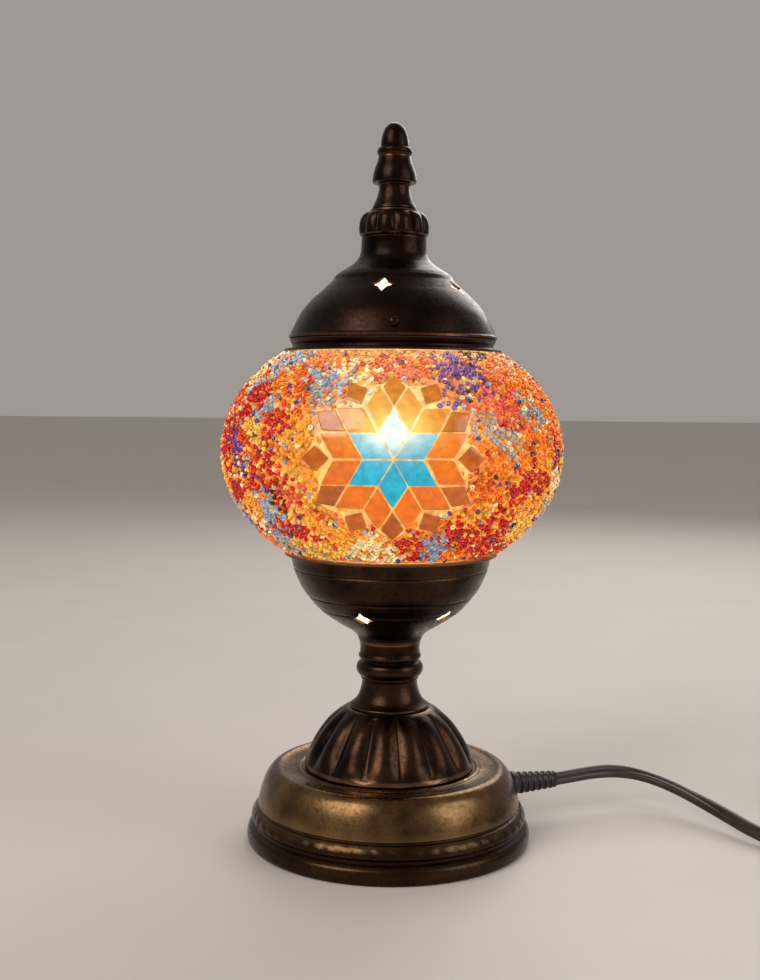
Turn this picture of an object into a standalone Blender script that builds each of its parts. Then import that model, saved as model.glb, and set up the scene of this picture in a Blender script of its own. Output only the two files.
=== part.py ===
"""Mosaic glass table lamp, in metres, +Z up, standing on z = 0 with its axis on the Z axis.

The pieces are stacked from the table upwards: felt, base, fluted dome, stem, lower cup, globe, fitter
ring, cap and finial. Angles round the axis are measured from the front (-Y) towards +X.
"""

from math import atan2, cos, degrees, hypot, pi, radians, sin, sqrt

import bmesh
import bpy
from mathutils import Matrix, Vector

# Clearances
GAP = 0.0003  # between pieces that touch
GLUE = 0.0006  # bed of adhesive under the tiles
SLIP = 0.0004  # round a piece that slides or is dropped in

# Sheet metal and glass
SHEET = 0.0010
GLASS_WALL = 0.0022

# Base
BASE_RADIUS = 0.0549
BASE_HEIGHT = 0.0282
BASE_LIFT = 0.0004  # the flange clears the table, which the felt touches
FELT_INSET = 0.0049  # from the flange's edge
FELT_THICKNESS = 0.0012
COVER_THICKNESS = 0.0008
WEIGHT_INSET, WEIGHT_INNER, WEIGHT_HEIGHT = 0.0109, 0.0250, 0.0080

# Fluted dome, stem and cup
DOME_RADIUS, DOME_TOP_RADIUS, DOME_HEIGHT = 0.0328, 0.0172, 0.0226
RIBS, FIRST_GROOVE, GROOVE_DEPTH = 15, radians(7), 0.0024
STEM_RADIUS, STEM_FOOT_RADIUS, STEM_HEIGHT = 0.0118, 0.0154, 0.0256
CUP_RADIUS, CUP_FOOT_RADIUS, CUP_HEIGHT = 0.0381, 0.0119, 0.0343
LIP_OVERHANG, LIP_THICKNESS = 0.0027, 0.0009
SEAT_WIDTH, GASKET_THICKNESS = 0.0065, 0.0012

# Globe
GLOBE_RADIUS, GLOBE_HALF_HEIGHT = 0.0650, 0.0489  # over the beads
BEADS_AT_WAIST, BEADS_AT_MOUTH = 0.0025, 0.0018
MOUTH_RADIUS = 0.0340  # both openings of the glass
MEDALLIONS, MEDALLION_RADIUS = 3, 0.0330
WINDOW_DEPTH = 0.0050  # of the cutter, either side of the globe's surface

# Cap and finial
FITTER_OVERHANG, SKIRT_HEIGHT = 0.0017, 0.0064
FLANGE_DROP = 0.0015  # from the glass's top edge to the fitter's flange
CAP_RADIUS, CAP_HEIGHT, CAP_NECK_RADIUS = 0.0396, 0.0384, 0.0123
CAP_EDGE_RISE = 0.0050  # from the fitter's flange to the cap's edge
COLLAR_RADIUS, COLLAR_HEIGHT, FLUTES, FLUTE_DEPTH = 0.0135, 0.0097, 12, 0.0012
CONE_RADIUS, CONE_WAIST, CONE_HEIGHT = 0.0083, 0.0058, 0.0094
BELL_RADIUS, BELL_TOP_RADIUS, BELL_HEIGHT = 0.0083, 0.0060, 0.0101
TIP_RADIUS, TIP_HEIGHT = 0.0066, 0.0124
STUD_RADIUS, STUD_BELOW_NUT = 0.0025, 0.0015
STUD_NUT_RADIUS, STUD_NUT_HEIGHT = 0.004675, 0.0035

# Star cut-outs
STAR_REACH, STAR_WAIST = 0.0042, 0.0022
CAP_STARS, CAP_STAR_ANGLE, CAP_STAR_RISE = 5, radians(-9), 0.0189
CUP_STARS, CUP_STAR_ANGLE, CUP_STAR_RISE = 5, radians(-23), 0.0114

# Cap screws
CAP_SCREWS, CAP_SCREW_RISE, CAP_SCREW_RADIUS = 3, 0.0049, 0.0011
SCREW_HEAD_RADIUS, SCREW_HEAD_THICKNESS = 0.0018, 0.0010

# Threaded tube and its nuts
TUBE_RADIUS, TUBE_BORE = 0.0050, 0.0035
NUT_HEIGHT, NUT_RADIUS = 0.0050, 0.0085
WASHER_RADIUS, WASHER_THICKNESS = 0.0095, 0.0009
TUBE_BELOW_NUT, TUBE_IN_SOCKET = 0.0022, 0.0040
BASE_WASHER_EXTRA = 0.0020  # the base's washer is that much wider than the cup's
SOCKET_RISE = 0.0170  # from the cup's floor to the socket's foot

# Socket and bulb
SOCKET_RADIUS, SOCKET_HEIGHT, SOCKET_WALL = 0.0138, 0.0250, 0.0022
SLEEVE_THICKNESS, SLEEVE_BELOW_RIM = 0.0005, 0.0020
FOOT_HEIGHT, FOOT_PLATE, FOOT_CHAMFER = 0.0100, 0.0030, 0.0030
CONTACT_HOLE_RADIUS, CONTACT_RADIUS = 0.0030, 0.0022  # in the socket's floor
CONTACT_TIP_ROUND, CONTACT_TAIL = 0.0006, 0.0010
CONTACT_RISE = 0.0030  # from the socket's floor to the bulb's tip
SCREW_CAP_RADIUS, SCREW_CAP_HEIGHT, SCREW_CAP_WALL = 0.0070, 0.0202, 0.0004
BULB_RADIUS, BULB_HEIGHT, BULB_GLASS_WALL = 0.0225, 0.0448, 0.0007
BULB_CONTACT_RADIUS, BULB_CONTACT_HEIGHT = 0.0024, 0.0012
INSULATOR_DEPTH, INSULATOR_TIP, INSULATOR_STEP = 0.0040, 0.0030, 0.0012
GLASS_IN_CAP, THROAT_RISE = 0.0060, 0.0015
STEM_BELOW, STEM_ABOVE = 0.0080, 0.0150  # of the top of the bulb's cap
STEM_TIP_RADIUS, STEM_NECK_RADIUS, STEM_FOOT_FLARE = 0.0016, 0.0018, 0.0046
FILAMENT_RADIUS, FILAMENT_SPAN, FILAMENT_ARCH = 0.0003, 0.0085, 0.0060
FILAMENT_LEG, FILAMENT_FOOT, FILAMENT_DROP = 0.0050, 0.0012, 0.0040

# Cord: a flat twin lead, as wide as the round tube that stands for it
CORD_WIDTH = 0.0054
CORD_EXIT_ANGLE = radians(110)
CORD_EXIT_HEIGHT = 0.0155
GLAND_LENGTH, GLAND_FLANGE, GLAND_FLANGE_THICKNESS = 0.0200, 0.0046, 0.0015
GLAND_WALL, GLAND_ROOT_WALL, GLAND_TIP_WALL = 0.0012, 0.0018, 0.0007
GLAND_IN_BASE = 0.0060
DRILL_REACH = 0.0160  # of a cutter, either side of the wall that it goes through

# The lead inside the lamp, as distances from the axis and heights, after its end in the gland
LEAD_IN_GLAND = 0.0130
INNER_LEAD_RUN = (
    (0.0470, 0.0155),
    (0.0390, 0.0155),
    (0.0310, 0.0148),
    (0.0240, 0.0132),
    (0.0170, 0.0103),
    (0.0095, 0.0084),
    (0.0035, 0.0104),
    (0.0006, 0.0150),
    (0.0, 0.0200),
    (0.0, 0.0350),
    (0.0, 0.0600),
    (0.0, 0.0800),
)
LEAD_IN_SOCKET = 0.0070

# The coil and its strap
COIL_CENTRE = (0.2085, 0.0320)
COIL_INNER, COIL_OUTER, COIL_HEIGHT, COIL_ROUNDING = 0.0235, 0.0375, 0.0116, 0.0020
TABLE_CLEAR = 0.0002  # under what lies on the table
TIE_WIDTH, TIE_THICKNESS, TIE_ANGLE = 0.0060, 0.0008, radians(150)

# The free cord's route, from the gland to the switch, from the switch to the coil and on to the plug
ROUTE_TO_SWITCH = (
    (0.0765, 0.0285, 0.0158),
    (0.0850, 0.0330, 0.0159),
    (0.0935, 0.0365, 0.0155),
    (0.1020, 0.0374, 0.0145),
    (0.1100, 0.0350, 0.0130),
    (0.1172, 0.0300, 0.0113),
    (0.1237, 0.0230, 0.0095),
    (0.1298, 0.0150, 0.0078),
    (0.1355, 0.0060, 0.0062),
    (0.1408, -0.0035, 0.0049),
    (0.1470, -0.0120, 0.0042),
    (0.1560, -0.0178, 0.0052),
    (0.1682, -0.0192, 0.0072),
)
SWITCH_END_NEAR = (0.1690, -0.0192)
SWITCH_END_FAR = (0.2250, -0.0192)
ROUTE_TO_COIL = (
    (0.2258, -0.0192, 0.0072),
    (0.2340, -0.0178, 0.0060),
    (0.2410, -0.0130, 0.0042),
    (0.2460, -0.0050, 0.0032),
    (0.2484, 0.0050, 0.0030),
    (0.2491, 0.0160, 0.0030),
    (0.2491, 0.0310, 0.0030),
)
ROUTE_TO_PLUG = (
    (0.2491, 0.0335, 0.0087),
    (0.2492, 0.0400, 0.0083),
    (0.2488, 0.0480, 0.0076),
    (0.2482, 0.0555, 0.0072),
)
PLUG_HEAD = (0.2480, 0.0560)
PLUG_TOWARDS = radians(94)
PLUG_LENGTH, PLUG_WIDTH, PLUG_THICKNESS, PLUG_EDGE = 0.0350, 0.0260, 0.0140, 0.0025
PLUG_NARROWING, PLUG_THINNING = 0.45, 0.30  # shares of the width and the thickness lost at the cord's end
PLUG_CLEAR = 0.0004
PIN_RADIUS, PIN_LENGTH, PIN_SPACING, PIN_TAPER = 0.0020, 0.0190, 0.0186, 0.0012

# In-line switch
SWITCH_WIDTH, SWITCH_HEIGHT, SWITCH_SPLIT, SWITCH_WALL = 0.0210, 0.0170, 0.0085, 0.0015
ROCKER_LENGTH, ROCKER_WIDTH, ROCKER_CROWN, ROCKER_TILT = 0.0170, 0.0090, 0.0052, radians(10)
ROCKER_AXIS_DROP, ROCKER_BELLY, ROCKER_BELLY_HALF, ROCKER_HEEL = 0.0045, 0.0022, 0.0030, 0.0005
ROCKER_WINDOW_DEPTH = 0.0100
SWITCH_CONTACT = (0.0140, 0.0080, 0.0035)

# Number of sides
SIDES, SMALL_SIDES, TINY_SIDES, NUT_SIDES = 28, 16, 8, 12
GLOBE_STEPS = 8

AXIS_RADIUS = 1e-7  # a point nearer to the axis than this is on it


# Materials


def finish(name, colour, roughness, metallic):
    """A Principled material."""
    made = bpy.data.materials.new(name)
    made.use_nodes = True
    shader = made.node_tree.nodes["Principled BSDF"]
    shader.inputs["Base Color"].default_value = (*colour, 1.0)
    shader.inputs["Roughness"].default_value = roughness
    shader.inputs["Metallic"].default_value = metallic
    made.diffuse_color = (*colour, 1.0)
    return made


# Outlines


def scaled(curve, radius, height, foot=0.0):
    """A curve of shares turned into (radius, height) points above a foot."""
    return [(radius * across, foot + height * up) for across, up in curve]


def offset(outline, distance):
    """The outline moved sideways, to the left of its own direction."""
    moved = []
    last = len(outline) - 1
    for index, (radius, height) in enumerate(outline):
        before, after = outline[max(index - 1, 0)], outline[min(index + 1, last)]
        run, rise = after[0] - before[0], after[1] - before[1]
        length = hypot(run, rise)
        moved.append((radius - distance * rise / length, height + distance * run / length))
    return moved


def radius_at(outline, height):
    """The outline's radius where it passes a height."""
    for (near, low), (far, high) in zip(outline, outline[1:]):
        if min(low, high) <= height <= max(low, high) and low != high:
            return near + (far - near) * (height - low) / (high - low)
    return outline[-1][0]


def lean_at(outline, height, reach=0.002):
    """The angle above the horizontal that the wall faces at a height."""
    below, above = radius_at(outline, height - reach), radius_at(outline, height + reach)
    return atan2(below - above, 2 * reach)


# Meshes


def spun(outline, sides, start=0.0):
    """The outline turned round the Z axis: a solid, or a ring where it keeps off the axis."""
    body = bmesh.new()
    corners = [body.verts.new((radius, 0.0, height)) for radius, height in outline]
    pairs = list(zip(corners, corners[1:]))
    if outline[0][0] > AXIS_RADIUS or outline[-1][0] > AXIS_RADIUS:
        pairs.append((corners[-1], corners[0]))
    edges = [body.edges.new(pair) for pair in pairs]
    bmesh.ops.spin(
        body,
        geom=corners + edges,
        cent=(0, 0, 0),
        axis=(0, 0, 1),
        angle=2 * pi,
        steps=sides,
        use_merge=True,
    )
    bmesh.ops.remove_doubles(body, verts=body.verts, dist=1e-7)
    bmesh.ops.rotate(body, verts=body.verts, matrix=Matrix.Rotation(start, 3, "Z"))
    bmesh.ops.recalc_face_normals(body, faces=body.faces)
    return body


def place(name, body, material, spot=(0, 0, 0), turn=None, smooth=True):
    """An object made from the mesh, at a spot and turned."""
    mesh = bpy.data.meshes.new(name)
    body.to_mesh(mesh)
    body.free()
    if smooth:
        mesh.shade_smooth()
        mesh.set_sharp_from_angle(angle=radians(35))
    piece = bpy.data.objects.new(name, mesh)
    piece.location = spot
    if turn is not None:
        piece.rotation_euler = turn.to_euler()
    mesh.materials.append(material)
    bpy.context.scene.collection.objects.link(piece)
    return piece


def turned(name, outline, material, sides=SIDES, spot=(0, 0, 0), turn=None):
    """A turned piece as an object."""
    return place(name, spun(outline, sides), material, spot, turn)


def shell(outer, wall):
    """The closed outline of a sheet that is turned: its outer side top to bottom, then its inner side."""
    return outer + offset(outer, -wall)[::-1]


def block(size, bevel, segments=2):
    """A box of a size about the origin, with rounded edges."""
    body = bmesh.new()
    bmesh.ops.create_cube(body, size=1.0)
    bmesh.ops.scale(body, verts=body.verts, vec=size)
    if bevel:
        bmesh.ops.bevel(
            body, geom=body.edges, offset=bevel, segments=segments, affect="EDGES", profile=0.5
        )
    return body


def prism(outline, thickness):
    """A flat outline of (x, z) points made into a solid, half its thickness to each side of y = 0."""
    body = bmesh.new()
    face = body.faces.new([body.verts.new((x, -thickness / 2, z)) for x, z in outline])
    raised = bmesh.ops.extrude_face_region(body, geom=[face])["geom"]
    moved = [item for item in raised if isinstance(item, bmesh.types.BMVert)]
    bmesh.ops.translate(body, verts=moved, vec=(0, thickness, 0))
    bmesh.ops.recalc_face_normals(body, faces=body.faces)
    return body


def around(angle, radius, height=0.0):
    """The point at an angle from the front, a radius from the axis."""
    return Vector((radius * sin(angle), -radius * cos(angle), height))


def outward(angle, lean=0.0):
    """The turn that points a piece's own Z axis away from the lamp's axis, leaning up by an angle."""
    return Matrix.Rotation(angle - pi / 2, 3, "Z") @ Matrix.Rotation(pi / 2 - lean, 3, "Y")


def cut(piece, cutter, name):
    """A Boolean cut, with its cutter kept out of the render."""
    cutter.hide_render = True
    cutter.display_type = "WIRE"
    hole = piece.modifiers.new(name, "BOOLEAN")
    hole.operation = "DIFFERENCE"
    hole.solver = "EXACT"
    hole.object = cutter


def join_bodies(bodies):
    """One mesh that holds all the bodies."""
    whole = bmesh.new()
    for body in bodies:
        mesh = bpy.data.meshes.new("part of a cutter")
        body.to_mesh(mesh)
        body.free()
        whole.from_mesh(mesh)
        bpy.data.meshes.remove(mesh)
    return whole


# Cords


def smooth_points(route, spacing):
    """Points a spacing apart on a Catmull-Rom curve through the route."""
    knots = [Vector(point) for point in route]
    knots = [2 * knots[0] - knots[1], *knots, 2 * knots[-1] - knots[-2]]
    fine = []
    for before, here, after, beyond in zip(knots, knots[1:], knots[2:], knots[3:]):
        for step in range(24):
            t = step / 24
            fine.append(
                0.5
                * (
                    2 * here
                    + (after - before) * t
                    + (2 * before - 5 * here + 4 * after - beyond) * t**2
                    + (3 * here - before - 3 * after + beyond) * t**3
                )
            )
    fine.append(knots[-2])
    total = sum((far - near).length for near, far in zip(fine, fine[1:]))
    count = max(2, round(total / spacing))
    kept, travelled = [fine[0]], 0.0
    for near, far in zip(fine, fine[1:]):
        travelled += (far - near).length
        if travelled >= total * len(kept) / count and len(kept) < count:
            kept.append(far)
    return [*kept, fine[-1]]


def lead(name, route, radius, material, spacing, rounding=2):
    """A round tube along a smooth route, with closed ends."""
    curve = bpy.data.curves.new(name, "CURVE")
    curve.dimensions = "3D"
    curve.bevel_depth = radius
    curve.bevel_resolution = rounding
    curve.use_fill_caps = True
    points = smooth_points(route, spacing)
    spline = curve.splines.new("POLY")
    spline.points.add(len(points) - 1)
    for knot, point in zip(spline.points, points):
        knot.co = (*point, 1.0)
    curve.materials.append(material)
    piece = bpy.data.objects.new(name, curve)
    bpy.context.scene.collection.objects.link(piece)
    return piece


# Curves of the turned pieces, as shares of their radius and height, outer side from top to bottom

BASE_CURVE = (
    (0.790, 1.000),
    (0.828, 0.970),
    (0.870, 0.840),
    (0.908, 0.640),
    (0.931, 0.460),
    (0.952, 0.380),
    (0.970, 0.270),
    (0.962, 0.225),
    (0.990, 0.120),
    (1.000, 0.050),
    (0.995, 0.000),
)
DOME_CURVE = (
    (0.22, 0.90),
    (0.50, 0.70),
    (0.73, 0.48),
    (0.90, 0.26),
    (1.00, 0.00),
)
STEM_CURVE = (
    (0.00, 1.00),
    (0.00, 0.78),
    (0.07, 0.69),
    (0.16, 0.62),
    (0.16, 0.54),
    (0.00, 0.46),
    (-0.12, 0.39),
    (-0.06, 0.27),
    (0.15, 0.16),
    (0.55, 0.05),
    (1.00, 0.00),
)
CUP_CURVE = (
    (1.00, 1.00),
    (0.985, 0.89),
    (0.90, 0.77),
    (0.745, 0.59),
    (0.60, 0.435),
    (0.44, 0.305),
    (0.25, 0.205),
    (0.10, 0.115),
    (0.00, 0.00),
)
CAP_CURVE = (
    (0.00, 1.00),
    (0.00, 0.93),
    (0.03, 0.81),
    (0.09, 0.765),
    (0.21, 0.685),
    (0.36, 0.60),
    (0.53, 0.495),
    (0.71, 0.36),
    (0.875, 0.20),
    (0.975, 0.055),
    (1.00, 0.00),
)
COLLAR_CURVE = (
    (0.66, 1.00),
    (0.85, 0.90),
    (0.97, 0.65),
    (1.00, 0.40),
    (1.00, 0.15),
    (0.93, 0.00),
)


def between(curve, inner, outer, height, foot):
    """A curve whose shares run from an inner to an outer radius."""
    return [(inner + (outer - inner) * across, foot + height * up) for across, up in curve]


# Heights, worked out from the table upwards

FELT_RADIUS = BASE_RADIUS - FELT_INSET
WEIGHT_OUTER = BASE_RADIUS - WEIGHT_INSET
COVER_FOOT = FELT_THICKNESS + GAP
COVER_TOP = COVER_FOOT + COVER_THICKNESS
BASE_TOP = BASE_LIFT + BASE_HEIGHT
DOME_FOOT = BASE_TOP + GAP
DOME_TOP = DOME_FOOT + DOME_HEIGHT
STEM_FOOT = DOME_TOP + GAP
STEM_TOP = STEM_FOOT + STEM_HEIGHT
CUP_FOOT = STEM_TOP + GAP
CUP_RIM = CUP_FOOT + CUP_HEIGHT

GLASS_RADIUS = GLOBE_RADIUS - BEADS_AT_WAIST - GAP
GLASS_HALF_HEIGHT = GLOBE_HALF_HEIGHT - BEADS_AT_MOUTH - GAP
MOUTH_DROP = GLASS_HALF_HEIGHT * sqrt(1 - (MOUTH_RADIUS / GLASS_RADIUS) ** 2)
GASKET_TOP = CUP_RIM - LIP_THICKNESS
GLOBE_FOOT = GASKET_TOP + GAP
GLOBE_CENTRE = GLOBE_FOOT + MOUTH_DROP
GLOBE_TOP = GLOBE_CENTRE + MOUTH_DROP

FLANGE_FOOT = GLOBE_TOP - FLANGE_DROP
CAP_EDGE = FLANGE_FOOT + CAP_EDGE_RISE
CAP_TOP = CAP_EDGE + CAP_HEIGHT
COLLAR_FOOT = CAP_TOP + GAP
CONE_FOOT = COLLAR_FOOT + COLLAR_HEIGHT + GAP
BELL_FOOT = CONE_FOOT + CONE_HEIGHT + GAP
TIP_FOOT = BELL_FOOT + BELL_HEIGHT + GAP

SOCKET_FOOT = CUP_FOOT + SOCKET_RISE
SOCKET_BODY_FOOT = SOCKET_FOOT + FOOT_HEIGHT + GAP
BULB_TIP = SOCKET_BODY_FOOT + SOCKET_WALL + CONTACT_RISE
BULB_CAP_FOOT = BULB_TIP + INSULATOR_DEPTH
BULB_CAP_TOP = BULB_CAP_FOOT + SCREW_CAP_HEIGHT
BULB_TOP = BULB_CAP_TOP + BULB_HEIGHT

TUBE_CLEAR = TUBE_RADIUS + GAP
STUD_CLEAR = STUD_RADIUS + GAP
BASE_NUT_TOP = BASE_TOP - SHEET - WASHER_THICKNESS - 2 * GAP
TUBE_FOOT = BASE_NUT_TOP - NUT_HEIGHT - TUBE_BELOW_NUT


# Outer outlines that other pieces are fitted to

BASE_OUTLINE = scaled(BASE_CURVE, BASE_RADIUS, BASE_HEIGHT, BASE_LIFT)
CUP_OUTLINE = between(CUP_CURVE, CUP_FOOT_RADIUS, CUP_RADIUS, CUP_HEIGHT - LIP_THICKNESS, CUP_FOOT)
CAP_OUTLINE = between(CAP_CURVE, CAP_NECK_RADIUS, CAP_RADIUS, CAP_HEIGHT, CAP_EDGE)
CAP_INSIDE = offset(CAP_OUTLINE, -SHEET)


def build_base(bronze, steel, felt):
    """The base shell with what closes and weights it."""
    top = [(TUBE_CLEAR, BASE_TOP), *BASE_OUTLINE]
    wall = shell(top, SHEET)
    # The wall's two ends are squared: the hole is upright and the flange's foot is level.
    wall[-1] = (TUBE_CLEAR, BASE_TOP - SHEET)
    foot_inside = len(top)
    wall[foot_inside] = (BASE_OUTLINE[-1][0] - SHEET, BASE_LIFT)
    base = turned("base_shell", wall, bronze)
    drill_radius = GLAND_SHANK + SLIP
    drill = spun(
        [(0, DRILL_REACH), (drill_radius, DRILL_REACH), (drill_radius, -DRILL_REACH), (0, -DRILL_REACH)],
        TINY_SIDES,
    )
    hole = place(
        "gland_hole",
        drill,
        bronze,
        around(CORD_EXIT_ANGLE, GLAND_SEAT, CORD_EXIT_HEIGHT),
        outward(CORD_EXIT_ANGLE),
    )
    cut(base, hole, "gland hole")

    disc = [(0, COVER_TOP), (FELT_RADIUS, COVER_TOP), (FELT_RADIUS, COVER_FOOT), (0, COVER_FOOT)]
    turned("base_cover", disc, steel)
    pad = [(0, FELT_THICKNESS), (FELT_RADIUS, FELT_THICKNESS), (FELT_RADIUS, 0), (0, 0)]
    turned("felt_pad", pad, felt)
    low, high = COVER_TOP + GAP, COVER_TOP + GAP + WEIGHT_HEIGHT
    ring = [(WEIGHT_OUTER, high), (WEIGHT_OUTER, low), (WEIGHT_INNER, low), (WEIGHT_INNER, high)]
    turned("base_weight", ring, steel)


def groove_share(angle, count, first):
    """How deep a groove pattern is at an angle, from 0 on a rib to 1 in a groove."""
    return max(0.0, cos(count * (angle - first))) ** 2


def flute(body, count, first, depth, low, high):
    """Presses grooves into a turned wall between two heights, deepest half way up."""
    for corner in body.verts:
        radius = hypot(corner.co.x, corner.co.y)
        if radius < TUBE_CLEAR + SHEET or not low <= corner.co.z <= high:
            continue
        angle = atan2(corner.co.x, -corner.co.y)
        share = sin(pi * (corner.co.z - low) / (high - low)) ** 0.5
        pressed = radius - depth * share * groove_share(angle, count, first)
        corner.co.x *= pressed / radius
        corner.co.y *= pressed / radius


def build_pedestal(bronze):
    """The fluted dome, the stem and the lower cup."""
    curve = between(DOME_CURVE, DOME_TOP_RADIUS, DOME_RADIUS, DOME_HEIGHT, DOME_FOOT)
    level = [(TUBE_CLEAR, DOME_TOP), (DOME_TOP_RADIUS, DOME_TOP)]
    wall = shell([*level, *curve], SHEET)
    wall[-1] = (TUBE_CLEAR, DOME_TOP - SHEET)
    wall[len(level) + len(curve)] = (DOME_RADIUS - SHEET, DOME_FOOT)
    dome = spun(wall, 2 * RIBS, FIRST_GROOVE - pi / 2)
    flute(dome, RIBS, FIRST_GROOVE, GROOVE_DEPTH, DOME_FOOT, DOME_TOP - 2 * SHEET)
    place("fluted_dome", dome, bronze)

    outer = between(STEM_CURVE, STEM_RADIUS, STEM_FOOT_RADIUS, STEM_HEIGHT, STEM_FOOT)
    stem = [*outer, (TUBE_CLEAR, STEM_FOOT), (TUBE_CLEAR, STEM_TOP)]
    turned("neck_stem", stem, bronze, SMALL_SIDES)

    lip_radius = CUP_RADIUS + LIP_OVERHANG
    inner = offset(CUP_OUTLINE, -SHEET)[:-1]
    inner[0] = (CUP_RADIUS - SHEET, CUP_RIM)
    wall = [
        (lip_radius, CUP_RIM),
        (lip_radius, CUP_RIM - LIP_THICKNESS),
        *CUP_OUTLINE,
        (TUBE_CLEAR, CUP_FOOT),
        (TUBE_CLEAR, CUP_FOOT + SHEET),
        (CUP_FOOT_RADIUS - SHEET, CUP_FOOT + SHEET),
        *inner[::-1],
    ]
    cup = turned("lower_cup", wall, bronze)
    height = CUP_FOOT + CUP_STAR_RISE
    cut_stars(cup, "cup_stars", CUP_OUTLINE, height, CUP_STARS, CUP_STAR_ANGLE, bronze)


def star_body(reach, waist, depth):
    """A four-pointed star, as a prism along Z about the origin."""
    radii = [reach, waist] * 4
    outline = [(r * cos(step * pi / 4), r * sin(step * pi / 4)) for step, r in enumerate(radii)]
    body = prism(outline, 2 * depth)
    bmesh.ops.rotate(body, verts=body.verts, matrix=Matrix.Rotation(pi / 2, 3, "X"))
    return body


def cut_stars(piece, name, outline, height, count, first, material):
    """Cuts a ring of stars through a turned wall, each square to the wall."""
    radius, lean = radius_at(outline, height), lean_at(outline, height)
    stars = []
    for number in range(count):
        angle = first + number * 2 * pi / count
        star = star_body(STAR_REACH, STAR_WAIST, 3 * SHEET)
        bmesh.ops.rotate(star, verts=star.verts, matrix=outward(angle, lean))
        bmesh.ops.translate(star, verts=star.verts, vec=around(angle, radius, height))
        stars.append(star)
    cut(piece, place(name, join_bodies(stars), material), "stars")


def egg_angle(half_height, height):
    """The angle at which an upright ellipse about the globe's centre reaches a height over that centre."""
    share = height / half_height
    return atan2(share, sqrt(1 - share**2))


def egg_angles(half_height, low, high, steps):
    """Evenly spaced angles down the side of an upright ellipse, between two heights."""
    top, bottom = egg_angle(half_height, high), egg_angle(half_height, low)
    return [top + (bottom - top) * step / steps for step in range(steps + 1)]


def egg(radius, half_height, angles):
    """Points down the side of an upright ellipse about the globe's centre."""
    return [(radius * cos(t), GLOBE_CENTRE + half_height * sin(t)) for t in angles]


def on_globe(radius, half_height, middle, across, up):
    """The point of the globe's surface that lies across and up from the middle of a medallion."""
    share = up / GLOBE_HALF_HEIGHT
    tilt = share * (1 - ((GLOBE_RADIUS / GLOBE_HALF_HEIGHT) ** 2 - 1) * share**2 / 6)
    angle = middle + 2 * across / (GLOBE_RADIUS * (1 + cos(tilt)))
    return around(angle, radius * cos(tilt), GLOBE_CENTRE + half_height * sin(tilt))


def globe_disc(middle, size, inside, outside, rings=3, sectors=20):
    """A round patch of the globe's wall between two depths, each an inset from the outer surface."""
    body = bmesh.new()
    layers = []
    for inset in (outside, inside):
        levels = (GLOBE_RADIUS - inset, GLOBE_HALF_HEIGHT - inset, middle)
        layer = [[body.verts.new(on_globe(*levels, 0, 0))]]
        for ring in range(1, rings + 1):
            reach = size * ring / rings
            turns = [2 * pi * sector / sectors for sector in range(sectors)]
            spots = [on_globe(*levels, reach * cos(turn), reach * sin(turn)) for turn in turns]
            layer.append([body.verts.new(spot) for spot in spots])
        layers.append(layer)
    for layer in layers:
        for sector in range(sectors):
            after = (sector + 1) % sectors
            body.faces.new((layer[0][0], layer[1][sector], layer[1][after]))
            for near, far in zip(layer[1:], layer[2:]):
                body.faces.new((near[sector], far[sector], far[after], near[after]))
    for sector in range(sectors):
        after = (sector + 1) % sectors
        (outer_rim, inner_rim) = (layers[0][-1], layers[1][-1])
        body.faces.new((outer_rim[sector], inner_rim[sector], inner_rim[after], outer_rim[after]))
    bmesh.ops.recalc_face_normals(body, faces=body.faces)
    return body


def build_globe(glass, beads, tile, rubber, steel):
    """The glass globe with its crust of beads and tiles, and what it stands on."""
    outer_radius = CUP_RADIUS - SHEET - SLIP
    seat_top = GASKET_TOP - GASKET_THICKNESS - GAP
    seat_radius = radius_at(offset(CUP_OUTLINE, -SHEET), seat_top - SHEET) - SLIP
    ring = [
        (seat_radius, seat_top),
        (seat_radius, seat_top - SHEET),
        (outer_radius - SEAT_WIDTH, seat_top - SHEET),
        (outer_radius - SEAT_WIDTH, seat_top),
    ]
    turned("globe_seat_ring", ring, steel)
    low = GASKET_TOP - GASKET_THICKNESS
    inner_radius = outer_radius - SEAT_WIDTH
    pad = [(seat_radius, GASKET_TOP), (seat_radius, low), (inner_radius, low), (inner_radius, GASKET_TOP)]
    turned("globe_gasket", pad, rubber)

    # The crust's inner side and the glass's outer side share their angles, so their facets stay apart.
    low = CUP_RIM + GAP - GLOBE_CENTRE
    high = FLANGE_FOOT - GAP - GLOBE_CENTRE
    shared = egg_angles(GLASS_HALF_HEIGHT + GAP, low, high, GLOBE_STEPS)
    mouth = egg_angle(GLASS_HALF_HEIGHT, MOUTH_DROP)
    outer = egg(GLASS_RADIUS, GLASS_HALF_HEIGHT, [mouth, *shared, -mouth])
    inner_radius, inner_half = GLASS_RADIUS - GLASS_WALL, GLASS_HALF_HEIGHT - GLASS_WALL
    inner = egg(inner_radius, inner_half, egg_angles(inner_half, -MOUTH_DROP, MOUTH_DROP, GLOBE_STEPS))
    turned("glass_globe", outer + inner[::-1], glass)

    outer = egg(GLOBE_RADIUS, GLOBE_HALF_HEIGHT, egg_angles(GLOBE_HALF_HEIGHT, low, high, GLOBE_STEPS))
    inner = egg(GLASS_RADIUS + GAP, GLASS_HALF_HEIGHT + GAP, shared)
    crust = turned("bead_crust", outer + inner[::-1], beads)
    windows = []
    for number in range(MEDALLIONS):
        middle = number * 2 * pi / MEDALLIONS
        windows.append(globe_disc(middle, MEDALLION_RADIUS + SLIP, WINDOW_DEPTH, -WINDOW_DEPTH))
        disc = globe_disc(middle, MEDALLION_RADIUS, BEADS_AT_MOUTH - GLUE / 2, 0.0)
        place(f"tile_medallion_{number + 1}", disc, tile)
    cut(crust, place("medallion_windows", join_bodies(windows), tile), "medallion windows")


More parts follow.
